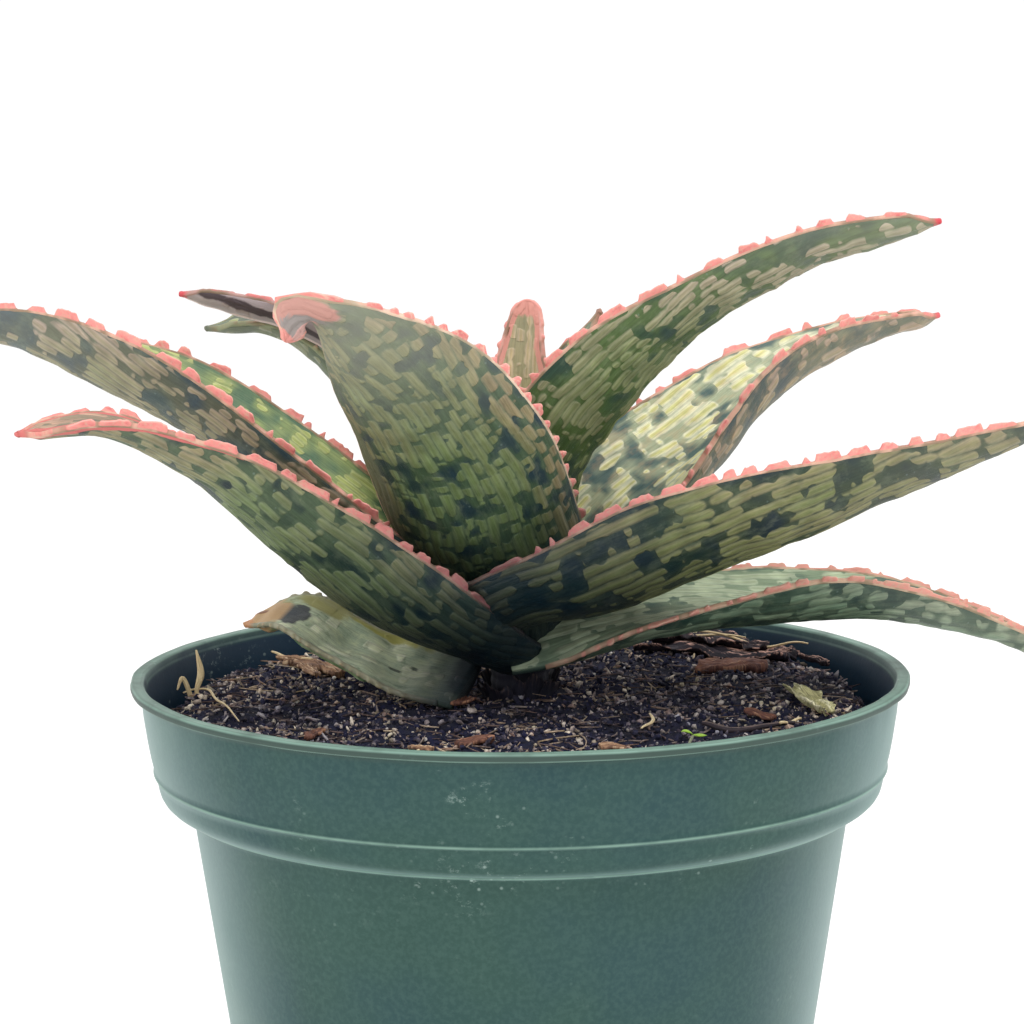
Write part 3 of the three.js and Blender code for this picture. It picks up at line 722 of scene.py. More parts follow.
# a crumpled thin sheet lying along a line on the soil, folded along its length
def crumpledSheet(spec, rows=46, columns=27):
    seed, ragged = spec["seed"] + 0.5, spec["ragged"]
    start, end = np.array(spec["from"], float), np.array(spec["to"], float)
    along = end - start
    length = np.linalg.norm(along)
    side = np.array([-along[1], along[0]]) / length
    u, v = np.meshgrid(np.linspace(0, 1, rows), np.linspace(-1, 1, columns), indexing="ij")
    u, v = u.ravel(), v.ravel()
    tear = 1 + ragged * 2 * sway(u * length / 1.1, np.sign(v) * 3, seed)
    half = spec["width"] / 2 * (0.5 + 0.5 * np.sin(np.pi * np.minimum(1, u * 0.9 + 0.1))) * tear
    pull = ragged * 0.22 * (smoothNoise(v * 3.5, np.sign(u - 0.5) * 3, seed + 1) - 0.7)
    pull = pull * np.abs(2 * u - 1) ** 5
    reach = u + np.sign(u - 0.5) * pull
    across = v * half + 0.05 * length * np.sin(np.pi * u)
    x = start[0] + along[0] * reach + side[0] * across
    y = start[1] + along[1] * reach + side[1] * across
    wander = 0.5 * smoothNoise(u * length / 4.5, 0, seed + 2)
    fold = np.abs(np.sin(np.pi * spec["folds"] * (0.5 * v + wander)))
    fold = fold * (0.6 + 0.8 * smoothNoise(u * length / 3, v * 2, seed + 3))
    ridge = np.clip(fold, 0, 1) ** 7
    level = soilHeight(x, y) + spec["lift"] + spec["foldHeight"] * (0.5 * fold + 0.5 * ridge - 0.3)
    level = level + spec["curl"] * v ** 2 + 0.3 * sway(x * 1.6, y * 1.6, seed)
    thin = spec["thickness"] * (0.45 + 0.55 * (1 - np.abs(v) ** 3))
    faces = [np.column_stack([x, y, level + k * thin]).reshape(rows, columns, 3) for k in (1, -1)]
    crest = np.maximum(ridge, smoothStep(np.abs(v), 0.86, 1.0) * 0.8).reshape(rows, columns)
    place = np.column_stack([u * length, v * half, 0 * u + seed * 5]).reshape(rows, columns, 3)
    table = {"crest": wrapped(crest, crest).ravel(), "grainPlace": wrapped(place, place).reshape(-1, 3)}
    return wrapped(*faces).reshape(-1, 3), ringFaces(rows, 2 * columns), table


# a stalk or blade swept along points; widths are full widths from foot to tip
def stalk(points, widths, flatness=1.0, sides=8, steps=26, lean=(0, 1, 0)):
    t = np.linspace(0, 1, steps)
    centre, wide = catmull(points, t), catmull(widths, t)[:, 0]
    along = unit(np.gradient(centre, axis=0))
    across = unit(np.cross(along, np.array(lean, float)))
    out = np.cross(across, along)
    turn = ringTurns(sides)
    cos, sin = np.cos(turn)[None, :, None], np.sin(turn)[None, :, None]
    ring = across[:, None] * cos + flatness * out[:, None] * sin
    mesh = centre[:, None] + ring * (np.maximum(wide, 0.05) / 2)[:, None, None]
    place = np.stack(np.broadcast_arrays(t[:, None] * 8, cos[..., 0], 0.0), -1).reshape(-1, 3)
    crest = np.tile(np.maximum(np.sin(turn), 0), steps)
    return mesh.reshape(-1, 3), ringFaces(steps, sides), {"crest": crest, "grainPlace": place}


def buildLitter():
    skins = {}
    for name, spec in litterSpecs.items():
        skins[name] = scrapMaterial(name + "_skin", spec["tints"])
        addPiece(name + "_fine", crumpledSheet(spec), skins[name], [name])
    for i, (start, end, width, lift, kind) in enumerate(looseScraps):
        spec = {**litterSpecs[kind], "from": start, "to": end, "width": width, "lift": lift, "seed": 20 + i}
        spec["foldHeight"], spec["thickness"] = spec["foldHeight"] * 0.5, min(spec["thickness"], 0.3)
        addPiece("scrap_%02d" % i, crumpledSheet(spec), skins[kind])


strawSpec = {
    "tints": [(206, 178, 132), (240, 218, 172), (252, 240, 208)],
    # standing straws: route and widths
    "upright": ([(-44.4, 2.2, 86.6), (-44.6, 2.3, 89), (-44.0, 2.5, 91.4), (-44.6, 2.8, 94.6)],
                [0.55, 0.6, 1.0, 0.25]),
    "leaning": ([(-45.1, 1.6, 86.8), (-45.6, 1.4, 89.2), (-46.4, 1.1, 91), (-47.1, 0.8, 89.4)],
                [0.6, 0.7, 0.6, 0.25]),
    # lying stalks: route on the soil, widths, lift
    "lying": [
        ([(-46.4, 2), (-45.0, 4), (-43, 2.8), (-41.6, -2.3), (-39.4, -10.4), (-36.8, -18.5)],
         [0.25, 0.4, 0.4, 0.2], 0.8),
        ([(33.5, -24.5), (36.5, -20.5)], [0.5, 0.6, 0.4], 0.9),
        ([(15.5, -27), (17.2, -22), (17.0, -18)], [0.3, 0.5, 0.3], 0.8),
        ([(-14, -37), (-11.8, -33.5)], [0.3, 0.5, 0.3], 0.8),
        ([(-36.5, 30), (-33, 26), (-30, 21.5)], [0.4, 0.7, 0.4], 1.2),
        ([(26.3, 27), (33, 28.2), (37.7, 24), (41.5, 20.5)], [0.4, 0.6, 0.5, 0.3], 2.9),
        ([(19.5, 31), (26, 30.5), (33, 26.5)], [0.3, 0.5, 0.3], 2.8),
    ],
    "twigs": [([(23.5, -23.5), (28, -24.6), (35.5, -23)], [0.7, 1.1, 0.6], 0.7)],
    "twigTints": [(26, 22, 32), (56, 44, 50), (140, 118, 110)],
}


def lyingStalk(route, widths, lift):
    t = np.linspace(0, 1, 14)
    flat = catmull(route, t)
    sag = 0.35 * np.sin(np.pi * t) * (smoothNoise(t * 4, 0, lift * 9) - 0.3)
    level = soilHeight(flat[:, 0], flat[:, 1]) + lift * (0.75 + 0.25 * np.cos(fullTurn * t)) + sag
    return stalk(np.column_stack([flat, level]), widths, 0.8, 6, 30, (0, 0, 1))


def buildStraws(spec):
    skin = scrapMaterial("paleStraw", spec["tints"])
    for key in ("upright", "leaning"):
        addPiece("straw_%s_fine" % key, stalk(*spec[key], 0.4), skin, ["straw_" + key])
    addPiece("straw_lying", joined([lyingStalk(*one) for one in spec["lying"]]), skin)
    twigs = joined([lyingStalk(*one) for one in spec["twigs"]])
    addPiece("dark_twig", twigs, scrapMaterial("darkTwig", spec["twigTints"]))


seedlingSpec = {
    "stalk": [(20.3, -34.6, 86.6), (20.8, -34.4, 88.1), (21.3, -34.2, 89.3), (21.7, -34, 90.1)],
    "stalkWidths": [0.36, 0.34, 0.4],
    "head": (21.7, -34, 90.15),
    "leaflets": [(-0.15, 1.75, -0.05), (3.3, 1.55, 0.55)],  # turn, length, rise
    "leafletWidths": [0.3, 1.15, 1.05, 0.12],
    "tints": [(120, 160, 50), (160, 200, 70), (186, 216, 104)],
    "stalkTints": [(150, 158, 110), (196, 198, 176), (216, 214, 206)],
}


def buildSeedling(spec):
    head = np.array(spec["head"])
    leaflets = []
    for turn, length, rise in spec["leaflets"]:
        way = np.array([math.cos(turn), math.sin(turn), 0])
        route = [head + way * length * k + [0, 0, rise * math.sin(2.2 * k)] for k in (0, 0.35, 0.7, 1)]
        leaflets.append(stalk(route, spec["leafletWidths"], 0.3, 10, 20, (0, 0, 1)))
    green = scrapMaterial("limeLeaflet", spec["tints"])
    addPiece("seedling_fine", joined(leaflets), green, ["seedling"])
    pale = scrapMaterial("paleStalk", spec["stalkTints"])
    addPiece("seedling_stalk", stalk(spec["stalk"], spec["stalkWidths"], 1, 8, 20), pale)


stemSpec = {
    "profile": [(2.8, 64.4), (3.9, 76), (4, 80.6), (4, 88), (3.9, 92), (4, 97), (3.2, 101), (2.3, 105.4)],
    "segments": 72, "rings": 90, "ringHeight": 1.5, "rough": 0.28,
    # torn remains of old leaf bases round the neck
    "sheaths": 8, "sheathFoot": 87.4, "sheathTop": 90.2, "sheathRadius": 4.25, "sheathThickness": 0.2,
    # the neck's own dark brown with painted deep shade of the rosette's heart, near-black navy
    "tints": [(6, 11, 32), (20, 20, 38), (74, 60, 58)],
}


def neckForm(spec):
    line = catmull(spec["profile"], np.linspace(0, 1, spec["rings"]))
    z, angle = np.meshgrid(line[:, 1], ringTurns(spec["segments"]), indexing="ij")
    ring = np.abs(np.sin(np.pi * (z + 0.4 * np.sin(2 * angle)) / spec["ringHeight"]))
    fibre = smoothNoise(angle * 9 / np.pi * 2, z / 3.5, 31)
    r = line[:, :1] + np.minimum(spec["rough"] * (ring * 0.7 + fibre - 1.1), 0.1)
    points = np.stack([r * np.cos(angle), r * np.sin(angle), z], -1).reshape(-1, 3)
    place = np.stack([z, angle * 4, 0 * z], -1).reshape(-1, 3)
    table = {"crest": (ring * fibre).ravel(), "grainPlace": place}
    return points, ringFaces(spec["rings"], spec["segments"]), table


# one torn papery remain of an old leaf base on the neck
def sheathForm(spec, i, rows=14, columns=13):
    middle = fullTurn * (i + 0.3 * hash01(i, 1)) / spec["sheaths"]
    wide, low, high = 0.35 + 0.3 * hash01(i, 2), spec["sheathFoot"], spec["sheathTop"] + 2.4 * hash01(i, 3)
    u, v = np.meshgrid(np.linspace(0, 1, rows), np.linspace(-1, 1, columns), indexing="ij")
    edge = 1 + 0.5 * sway(u * 5, np.sign(v) * 2, i + 40.0)
    around = middle + v * wide * edge * (1 - 0.35 * u)
    tall = low + (high - low) * u * (0.8 + 0.4 * smoothNoise(v * 3, 0, i + 50.0))
    out = spec["sheathRadius"] + 0.15 * (i % 3) + 1.1 * u ** 2 + 0.25 * np.abs(np.sin(4 * v))
    outer, inner = (
        np.stack([(out + more) * np.cos(around), (out + more) * np.sin(around), tall], -1)
        for more in (spec["sheathThickness"], 0.0)
    )
    place = np.stack([tall, around * 4, 0 * u + i], -1)
    crest = np.tile(np.linspace(0, 0.9, rows)[:, None], (1, 2 * columns)).ravel()
    table = {"crest": crest, "grainPlace": wrapped(place, place).reshape(-1, 3)}
    return wrapped(outer, inner).reshape(-1, 3), ringFaces(rows, 2 * columns), table


def buildStem(spec):
    form = joined([neckForm(spec)] + [sheathForm(spec, i) for i in range(spec["sheaths"])])
    addPiece("stem_fine", form, scrapMaterial("darkNeck", spec["tints"]), ["stem"])


buildLitter()
buildStraws(strawSpec)
buildSeedling(seedlingSpec)
buildStem(stemSpec)
print("litter, stalks, seedling and root neck ready")


# Leaves

# what every leaf shares unless its own values below say otherwise
leafCommon = {
    "thickness": 4.5, "tipThickness": 1.5, "edgeThickness": 0.8, "bulge": 2.4, "upperShare": 0.35,
    "wave": 0.3,  # how far the edges wander
    "taper": 0,  # length of a sharp tip, 0 for a round one
    "gridAlong": 0.88, "gridAcross": 0.26, "toothStep": 0.22,
    # toothed edge
    "rim": 0.2,  # pale line between the blade and its teeth
    "toothHeight": 1.0, "toothLength": (1.8, 4.4), "shortTooth": (0.7, 1.5), "shortTeeth": 0.25,
    "toothGap": (0.4, 2.4), "toothStart": 0.06, "toothFade": 0.22, "toothSides": (1, 1), "band": 0.16,
    # rows of streaks, and how thickly they stand
    "rowPitch": 1.2, "runLength": 3.4, "rowRise": 0.12, "pucker": 0.34, "fullest": 0.38,
    "gapShare": 0.42, "gapLength": 2.8, "gapWidth": 2.8, "gapSoft": 0.13, "merge": 0.6,
    "bareEdge": 0.9, "softEdge": 1.35,
    # warm or cool streaks, dark heart of painted shade, mottling, blush, and a pale veil toward the tip of
    # painted highlight
    "warm": 0.2, "warmTip": 0.5, "warmEdge": 0.4,
    # painted shade: the heart values darken each leaf and its teeth toward the middle of the rosette
    "heartDark": 0.8, "heartReach": 0.42,  # the leaf darkens toward the heart of the plant
    "heartTint": (2, 32, 44),
    "mottle": 0.16, "mottleTint": (150, 160, 128), "mottleDark": (24, 44, 46),
    "pinkBand": (0, 0), "tipSheen": 0.25, "tipSheenTint": (186, 184, 166), "waxTint": (126, 146, 140),
    "tipLength": 2.0, "tipTint": (214, 96, 100),
    # ground between the streaks, rim and core of a streak, both faces of the leaf, then the edge
    "ground": (18, 38, 48), "groundGreen": (30, 52, 42), "between": (58, 70, 46),
    "rimCool": (124, 128, 86), "rimWarm": (168, 144, 120),
    "coreCool": (106, 116, 68), "coreWarm": (140, 122, 92),
    "upperGround": (56, 78, 76), "upperBetween": (112, 126, 90), "upperRim": (190, 194, 150),
    "upperCore": (146, 154, 90),
    "pale": (212, 168, 146), "pink": (232, 144, 136), "deepPink": (208, 108, 108),
    "toothEdge": (244, 184, 172), "rimDark": (122, 108, 84),
    "stains": [],
    "seed": 1,
}

# path: points of the keel; width and roll: even steps from foot to tip; cup: degrees at foot and tip
leafSpecs = {
    "leaf_front_left": {
        "path": [(-2, -4, 95.5), (-16.5, -14, 102.5), (-29, -19.5, 113), (-41, -22, 123), (-52.5, -24, 128.5),
                 (-63.5, -26, 128)],
        "width": [16.5, 26, 22.5, 17, 9.5, 1.8], "roll": [1, 19, -27], "cup": (54, 39), "azimuth": 197,
        "taper": 3, "seed": 3,
        "shortTeeth": 0.15, "toothGap": (0.25, 1.2),
        "runLength": 3.2, "gapShare": 0.36, "gapLength": 2.2, "gapWidth": 1.9, "merge": 0.48,
        "warm": 0.05, "warmEdge": 0.25, "heartDark": 0.95, "heartReach": 0.62, "pinkBand": (0, 0.5),
        "tipSheen": 0.12, "tipTint": (208, 112, 108),
        "between": (76, 94, 66), "rimCool": (122, 136, 98), "coreCool": (102, 118, 76),
        "upperGround": (106, 100, 84), "upperBetween": (148, 126, 104), "upperRim": (208, 160, 140),
        "upperCore": (166, 134, 110),
    },
    "leaf_right_front": {
        "path": [(1, -4, 97.5), (1, -12.5, 103), (10, -18, 105.5), (24.5, -20, 111.5), (41.5, -20, 117.5),
                 (58, -19, 123.5), (73.5, -18, 129)],
        "width": [20.5, 23, 24.5, 20, 14.5, 7.5, 2], "roll": [-10, -14, 0], "cup": (51, 41), "azimuth": -28,
        "seed": 5,
        "toothGap": (0.4, 1.8),
        "rowPitch": 1.25, "runLength": 4.2, "fullest": 0.35, "gapShare": 0.4, "gapLength": 2.7,
        "gapWidth": 3.0,
        "warm": 0.05, "warmEdge": 0.25, "heartDark": 0.95, "heartReach": 0.54, "tipSheen": 0.15,
    },
    "leaf_low_right": {
        "path": [(-1.5, -5.5, 97.5), (9, -6, 99.5), (20.5, -4.5, 100.5), (33.5, -2.5, 100.5),
                 (47, -0.5, 100.5), (61, 1, 98), (75, 2, 93)],
        "width": [12.5, 16.5, 19.5, 22, 15.5, 7.5, 3], "roll": [49, 26, 8, 10, 9], "cup": (18, 81),
        "azimuth": -3, "seed": 7,
        "toothHeight": 0.9, "shortTeeth": 0.5, "band": 0.5,
        "rowPitch": 1.5, "runLength": 5.0, "gapShare": 0.37, "gapLength": 2.2, "gapWidth": 2.2,
        "softEdge": 1.6,
        "warm": 0, "warmTip": 0.25, "warmEdge": 0.2, "heartDark": 0.35, "heartReach": 0.4, "tipSheen": 0.12,
        "ground": (38, 60, 56), "groundGreen": (48, 70, 58), "between": (72, 92, 76),
        "rimCool": (122, 144, 118), "rimWarm": (176, 172, 152), "coreCool": (98, 122, 100),
        "coreWarm": (146, 146, 126), "upperGround": (78, 104, 90), "upperBetween": (134, 152, 122),
        "upperRim": (188, 200, 170), "upperCore": (160, 174, 142), "pale": (196, 168, 142),
        "pink": (218, 148, 134), "deepPink": (190, 132, 116), "toothEdge": (222, 180, 160),
    },
    "leaf_low_left": {
        "path": [(-7, -6, 91), (-15.5, -3, 92.5), (-23.5, 0.5, 95.5), (-31, 4.5, 99), (-38.5, 8.5, 97)],
        "width": [12, 12, 10.5, 9.5, 3], "roll": [-19, -18, -26], "cup": (19, 20), "azimuth": 153,
        "thickness": 2.4, "taper": 5, "seed": 9,
        "toothHeight": 0.5, "toothLength": (0.7, 1.4), "shortTooth": (0.4, 0.8), "toothGap": (0.3, 0.9),
        "band": 0.2,
        "rowPitch": 1.5, "runLength": 4.0, "pucker": 1.3, "gapSoft": 0.25, "softEdge": 3.0,
        "heartDark": 0.92, "heartReach": 0.4, "mottle": 0.5, "mottleTint": (216, 224, 178),
        "mottleDark": (52, 92, 68), "tipSheen": 0, "tipLength": 3.0, "tipTint": (206, 150, 110),
        "ground": (96, 142, 106), "groundGreen": (128, 160, 100), "between": (142, 174, 122),
        "rimCool": (188, 210, 164), "rimWarm": (170, 176, 146), "coreCool": (162, 186, 146),
        "coreWarm": (154, 162, 128), "upperGround": (160, 176, 150), "upperBetween": (190, 198, 166),
        "upperRim": (236, 236, 210), "upperCore": (212, 218, 182), "pale": (172, 170, 146),
        "pink": (158, 154, 126), "deepPink": (134, 122, 92), "toothEdge": (190, 170, 130),
        "rimDark": (130, 132, 108),
        "stains": [  # distance along, across, half length, half width, tint
            (32.5, -0.5, 5.0, 6.0, (196, 156, 112)), (20, 5.0, 13, 1.2, (172, 168, 84)),
            (25, 3.4, 4.0, 1.6, (150, 146, 88)), (27.0, -0.8, 1.8, 2.7, (30, 32, 56)),
            (33.5, 0.8, 1.5, 0.5, (130, 70, 44)), (10.6, -0.9, 0.9, 0.4, (62, 72, 60)),
            (8.2, 0.6, 0.9, 0.4, (66, 76, 60)), (0, 2.0, 3.1, 6.0, (96, 88, 66)),
        ],
    },
    "leaf_arched": {
        "path": [(-1, -5, 101), (-4.5, -13.5, 112), (-8.5, -21.5, 122.5), (-13.5, -28, 131.5),
                 (-19.5, -33.5, 139), (-25, -37, 143.5), (-28.5, -38.5, 140.5)],
        "width": [19.5, 25.5, 27, 26.5, 23, 15, 7], "roll": [23, 23, 24, 18, 16, 1, -42], "cup": (33, 46),
        "azimuth": 234, "seed": 11,
        "toothHeight": 0.95, "toothLength": (1.0, 2.2), "shortTeeth": 0.5, "toothGap": (0.5, 2.2),
        "toothSides": (1, 0.3),
        "rowPitch": 1.35, "runLength": 1.9, "gapShare": 0.36, "gapLength": 1.7, "gapWidth": 1.7,
        "merge": 0.52, "softEdge": 1.8,
        "warm": 0.1, "warmEdge": 0.7, "heartDark": 0.85, "tipSheen": 0.5, "tipSheenTint": (186, 186, 164),
        "tipLength": 1.0, "tipTint": (240, 156, 146),
        "ground": (36, 56, 66), "groundGreen": (42, 62, 58), "between": (72, 92, 64),
        "rimCool": (117, 134, 92), "rimWarm": (170, 146, 116), "coreCool": (98, 116, 72),
        "pale": (228, 198, 174), "rimDark": (152, 140, 114),
        "stains": [
            (62.0, 0, 4.4, 6, (160, 150, 148)), (63.2, 2.6, 3.2, 1.0, (242, 172, 160)),
            (61.8, 0.6, 4.0, 0.45, (226, 176, 170)), (60.5, -3.5, 3.0, 1.4, (206, 150, 140)),
            (34, 12.2, 22, 1.0, (190, 164, 132)), (24, 11.2, 14, 1.6, (112, 118, 92)),
        ],
    },
    "leaf_upper_left": {
        "path": [(-4, -0.5, 100), (-18.5, -0.5, 108), (-31, -1, 117.5), (-43.5, -0.5, 126.5), (-56, 0.5, 133),
                 (-68, 2.5, 138), (-79, 4, 139.5)],
        "width": [18, 22, 23, 23, 22, 12.5, 2], "roll": [-4, -5, 20], "cup": (67, 75), "azimuth": 181,
        "seed": 13,
        "toothGap": (0.3, 2.8),
        "rowPitch": 1.0, "runLength": 4.8, "gapLength": 3.2, "gapWidth": 3.0, "merge": 0.54,
        "warm": 0.22, "heartReach": 0.3, "tipSheen": 0.2,
        "ground": (44, 64, 76), "groundGreen": (52, 72, 72), "between": (90, 92, 70),
        "rimWarm": (180, 158, 144), "coreCool": (120, 130, 88), "coreWarm": (146, 130, 108),
        "upperGround": (88, 116, 92), "upperBetween": (164, 176, 112), "upperRim": (204, 208, 148),
        "upperCore": (172, 182, 108),
    },
    "leaf_upper_right": {
        "path": [(3, -2, 104), (4, -5, 119), (13, -7.5, 132), (25, -10.5, 142), (39.5, -12.5, 149.5),
                 (55, -13, 153.5)],
        "width": [17, 21.5, 21.5, 14, 9.5, 3], "roll": [-18, -16, -10], "cup": (52, 40), "azimuth": -19,
        "taper": 4, "seed": 15,
        "toothGap": (0.8, 3.6),
        "rowPitch": 1.1, "runLength": 2.6, "rowRise": 0.2, "pucker": 0.6, "gapShare": 0.4, "gapLength": 2.0,
        "gapWidth": 2.0,
        "warmTip": 0.8, "heartDark": 0.3, "heartReach": 0.3, "tipLength": 1.2, "tipTint": (206, 70, 80),
        "ground": (42, 66, 60), "groundGreen": (62, 88, 52), "between": (84, 104, 58),
        "rimCool": (134, 144, 102), "rimWarm": (184, 166, 148), "coreCool": (102, 118, 70),
        "coreWarm": (156, 144, 118),
    },
    "leaf_right": {
        "path": [(4, 2, 101), (13.5, 6.5, 112), (24.5, 11, 120.5), (34.5, 14.5, 129), (46, 17.5, 135),
                 (59.5, 18, 139)],
        "width": [17, 22, 25, 20.5, 12, 3], "roll": [47, 7, -22], "cup": (50, 64), "azimuth": 19, "taper": 3,
        "seed": 17,
        "toothGap": (0.8, 4.2),
        "rowPitch": 1.7, "runLength": 3.6, "gapLength": 2.4, "gapWidth": 2.2, "softEdge": 1.8,
        "warm": 0.45, "heartDark": 0.2, "heartReach": 0.15, "mottle": 0.2, "mottleTint": (226, 178, 130),
        "mottleDark": (60, 90, 82), "tipLength": 1.0,
        "ground": (70, 82, 84), "groundGreen": (76, 88, 74), "between": (122, 120, 96),
        "rimCool": (176, 172, 134), "rimWarm": (196, 164, 148), "coreCool": (146, 146, 100),
        "coreWarm": (158, 138, 112), "upperGround": (72, 98, 96), "upperBetween": (184, 192, 156),
        "upperRim": (250, 246, 214), "upperCore": (208, 206, 136),
    },
    "leaf_young": {
        "path": [(0.5, 0.5, 106), (0.5, 2, 119.5), (0.5, 3, 132), (1.5, 4, 142.5)],
        "width": [9, 9.5, 8, 3.5], "roll": [1, 1, 0], "cup": (30, 25), "azimuth": 80, "thickness": 2.6,
        "seed": 19,
        "toothHeight": 0.5, "toothLength": (0.8, 2.2),
        "gapShare": 0.3,
        "heartDark": 0.2, "pinkBand": (0.7, 1.1), "tipLength": 2.6, "tipTint": (236, 158, 148),
        "ground": (128, 134, 104), "groundGreen": (158, 158, 104), "between": (182, 176, 124),
        "rimCool": (206, 192, 152), "coreCool": (186, 176, 124), "upperGround": (136, 134, 104),
        "upperBetween": (176, 160, 118), "upperRim": (228, 202, 172), "upperCore": (196, 170, 124),
        "pale": (240, 176, 166), "pink": (242, 160, 150),
    },
    "leaf_back_dark": {
        "path": [(-3.5, 2, 104), (-10, 5.5, 118.5), (-18, 8, 129.5), (-27, 9.5, 137), (-37, 10.5, 141),
                 (-46.5, 10, 143.5)],
        "width": [11, 11.5, 10, 8, 6, 2.5], "roll": [26, 29, 30], "cup": (50, 60), "azimuth": 167,
        "thickness": 2.6, "taper": 3, "seed": 21,
        "toothHeight": 0.4, "band": 0.1,
        "gapShare": 0.6,
        "tipSheen": 0.55, "tipSheenTint": (204, 188, 190), "tipLength": 1.2, "tipTint": (214, 84, 92),
        "ground": (120, 104, 110), "groundGreen": (128, 114, 112), "between": (140, 124, 122),
        "rimCool": (110, 92, 80), "rimWarm": (140, 104, 96), "coreCool": (90, 74, 62),
        "coreWarm": (110, 84, 76), "upperGround": (70, 54, 52), "upperBetween": (92, 72, 66),
        "upperRim": (140, 112, 104), "upperCore": (110, 88, 78), "pale": (176, 140, 132),
        "pink": (214, 128, 124),
        "stains": [
            (46, 1.7, 26, 0.5, (62, 52, 56)), (46, -1.5, 26, 0.5, (58, 44, 50)),
            (44, 0.2, 24, 0.5, (226, 200, 196)),
        ],
    },
    "leaf_back_green": {
        "path": [(-4, 3, 98.5), (-12.5, 7.5, 110), (-19, 11, 121.5), (-25, 14.5, 132), (-33.5, 16.5, 138),
                 (-44, 18, 138)],
        "width": [13, 15.5, 14.5, 12, 8, 2.4], "roll": [-1, 0, 0], "cup": (45, 50), "azimuth": 155,
        "thickness": 3, "taper": 4, "seed": 23,
        "toothHeight": 0.5,
        "tipLength": 1.5, "tipTint": (112, 120, 102),
        "ground": (78, 96, 84), "groundGreen": (92, 108, 84), "between": (112, 124, 92),
        "rimCool": (152, 162, 132), "rimWarm": (158, 160, 136), "coreCool": (126, 138, 100),
        "coreWarm": (136, 140, 108), "pale": (150, 156, 124), "pink": (160, 150, 120),
        "deepPink": (140, 124, 100),
    },
    "leaf_back_slim": {
        "path": [(3, 4, 105), (3, 7, 118), (5.5, 10, 130), (11.5, 12, 140.5)],
        "width": [10, 10, 6.5, 1.8], "roll": [0, 0, 0], "cup": (45, 50), "azimuth": 50, "thickness": 2.4,
        "taper": 7, "seed": 25,
        "toothHeight": 0.45, "toothLength": (0.8, 2),
        "tipLength": 1.2, "tipTint": (172, 132, 116),
        "pale": (176, 150, 128),
    },
    "leaf_back": {
        "path": [(-0.5, 5, 96.5), (-1.5, 16, 105), (-3.5, 27, 112), (-6.5, 39, 117.5), (-9.5, 51, 121)],
        "width": [15, 18, 16.5, 11, 3], "roll": [0, 0, 0], "cup": (50, 40), "azimuth": 100, "thickness": 3.6,
        "seed": 27,
    },
}


def leafForm(look):
    points = catmull(look["path"], np.linspace(0, 1, 401))
    run = np.concatenate([[0], np.cumsum(np.linalg.norm(np.diff(points, axis=0), axis=1))])
    tipRound = look["taper"] or max(1.2, max(look["width"][-1], 1) / 2 * 1.25)
    return {"look": look, "points": points, "run": run, "length": run[-1], "tipRound": tipRound}


# half width at a share of the length, before the tip is rounded off
def plainHalf(look, share):
    return np.maximum(catmull(look["width"], share)[:, 0], 1) / 2


# half width of the outline at a distance along the keel
def halfWidth(form, d):
    look, length, tipRound = form["look"], form["length"], form["tipRound"]
    plain = plainHalf(look, d / length)
    past = np.clip((d - (length - tipRound)) / tipRound, 0, 1)
    shape = (1 - past) ** 0.8 if look["taper"] else np.sqrt(1 - past ** 2)
    return plain * shape, plain


# points of the leaf at distances along and across, and a height above its middle surface
def leafPoints(form, d, across, height):
    look, run, length = form["look"], form["run"], form["length"]

    def onKeel(at):
        return np.stack([np.interp(at, run, form["points"][:, k]) for k in range(3)], -1)

    held = np.clip(d, 0, length)
    along = unit(onKeel(np.minimum(held + 0.5, length)) - onKeel(np.maximum(held - 0.5, 0)))
    centre = onKeel(held) + along * (d - held)[:, None]
    heading = math.radians(look["azimuth"])
    inward = unit(np.array([-math.cos(heading), -math.sin(heading), 1.0]))
    up = unit(inward - along * (along @ inward)[:, None])
    share = held / length
    roll = np.radians(catmull(look["roll"], share))
    up = up * np.cos(roll) + np.cross(along, up) * np.sin(roll)
    side = np.cross(along, up)
    cup = np.radians(look["cup"][0] + (look["cup"][1] - look["cup"][0]) * share)
    arc = plainHalf(look, share) / cup
    angle = across / arc
    radius = arc - height
    return centre + side * (radius * np.sin(angle))[:, None] + up * (arc - radius * np.cos(angle))[:, None]


# slow waves of the leaf's middle surface, largest at its edges
def leafWave(form, d, s):
    look = form["look"]
    edge = sway(d / 7.5 + 3, np.sign(s) * 4 + 9, look["seed"] + 0.3)
    broad = sway(d / 15, s * 0.8 + 5, look["seed"] + 0.6)
    return look["wave"] * smoothStep(d, 0, 12) * (1.6 * broad + 2.0 * edge * np.abs(s) ** 3)


# where the rows of pale streaks lie and how thickly the streaks stand
def streakLayout(look, d, across, half, upper):
    seed = look["seed"] + 50 * upper
    wander = 1.6 * sway(d / 13, across / 9, seed + 1.0)
    rowPlace = across / look["rowPitch"] + wander + 0.5 * sway(d / 5, across / 4, seed + 1.5)
    long, wide = look["gapLength"], look["gapWidth"]
    patch = 0.5 * smoothNoise(d / long, across / wide, seed + 2.0)
    for finer, more in ((2.1, 4.0), (0.4, 5.0)):
        patch += 0.25 * smoothNoise(d / long * finer, across / wide * finer, seed + more)
    return rowPlace, patch * (0.72 + 0.28 * smoothStep(half - np.abs(across), 0, look["bareEdge"]))


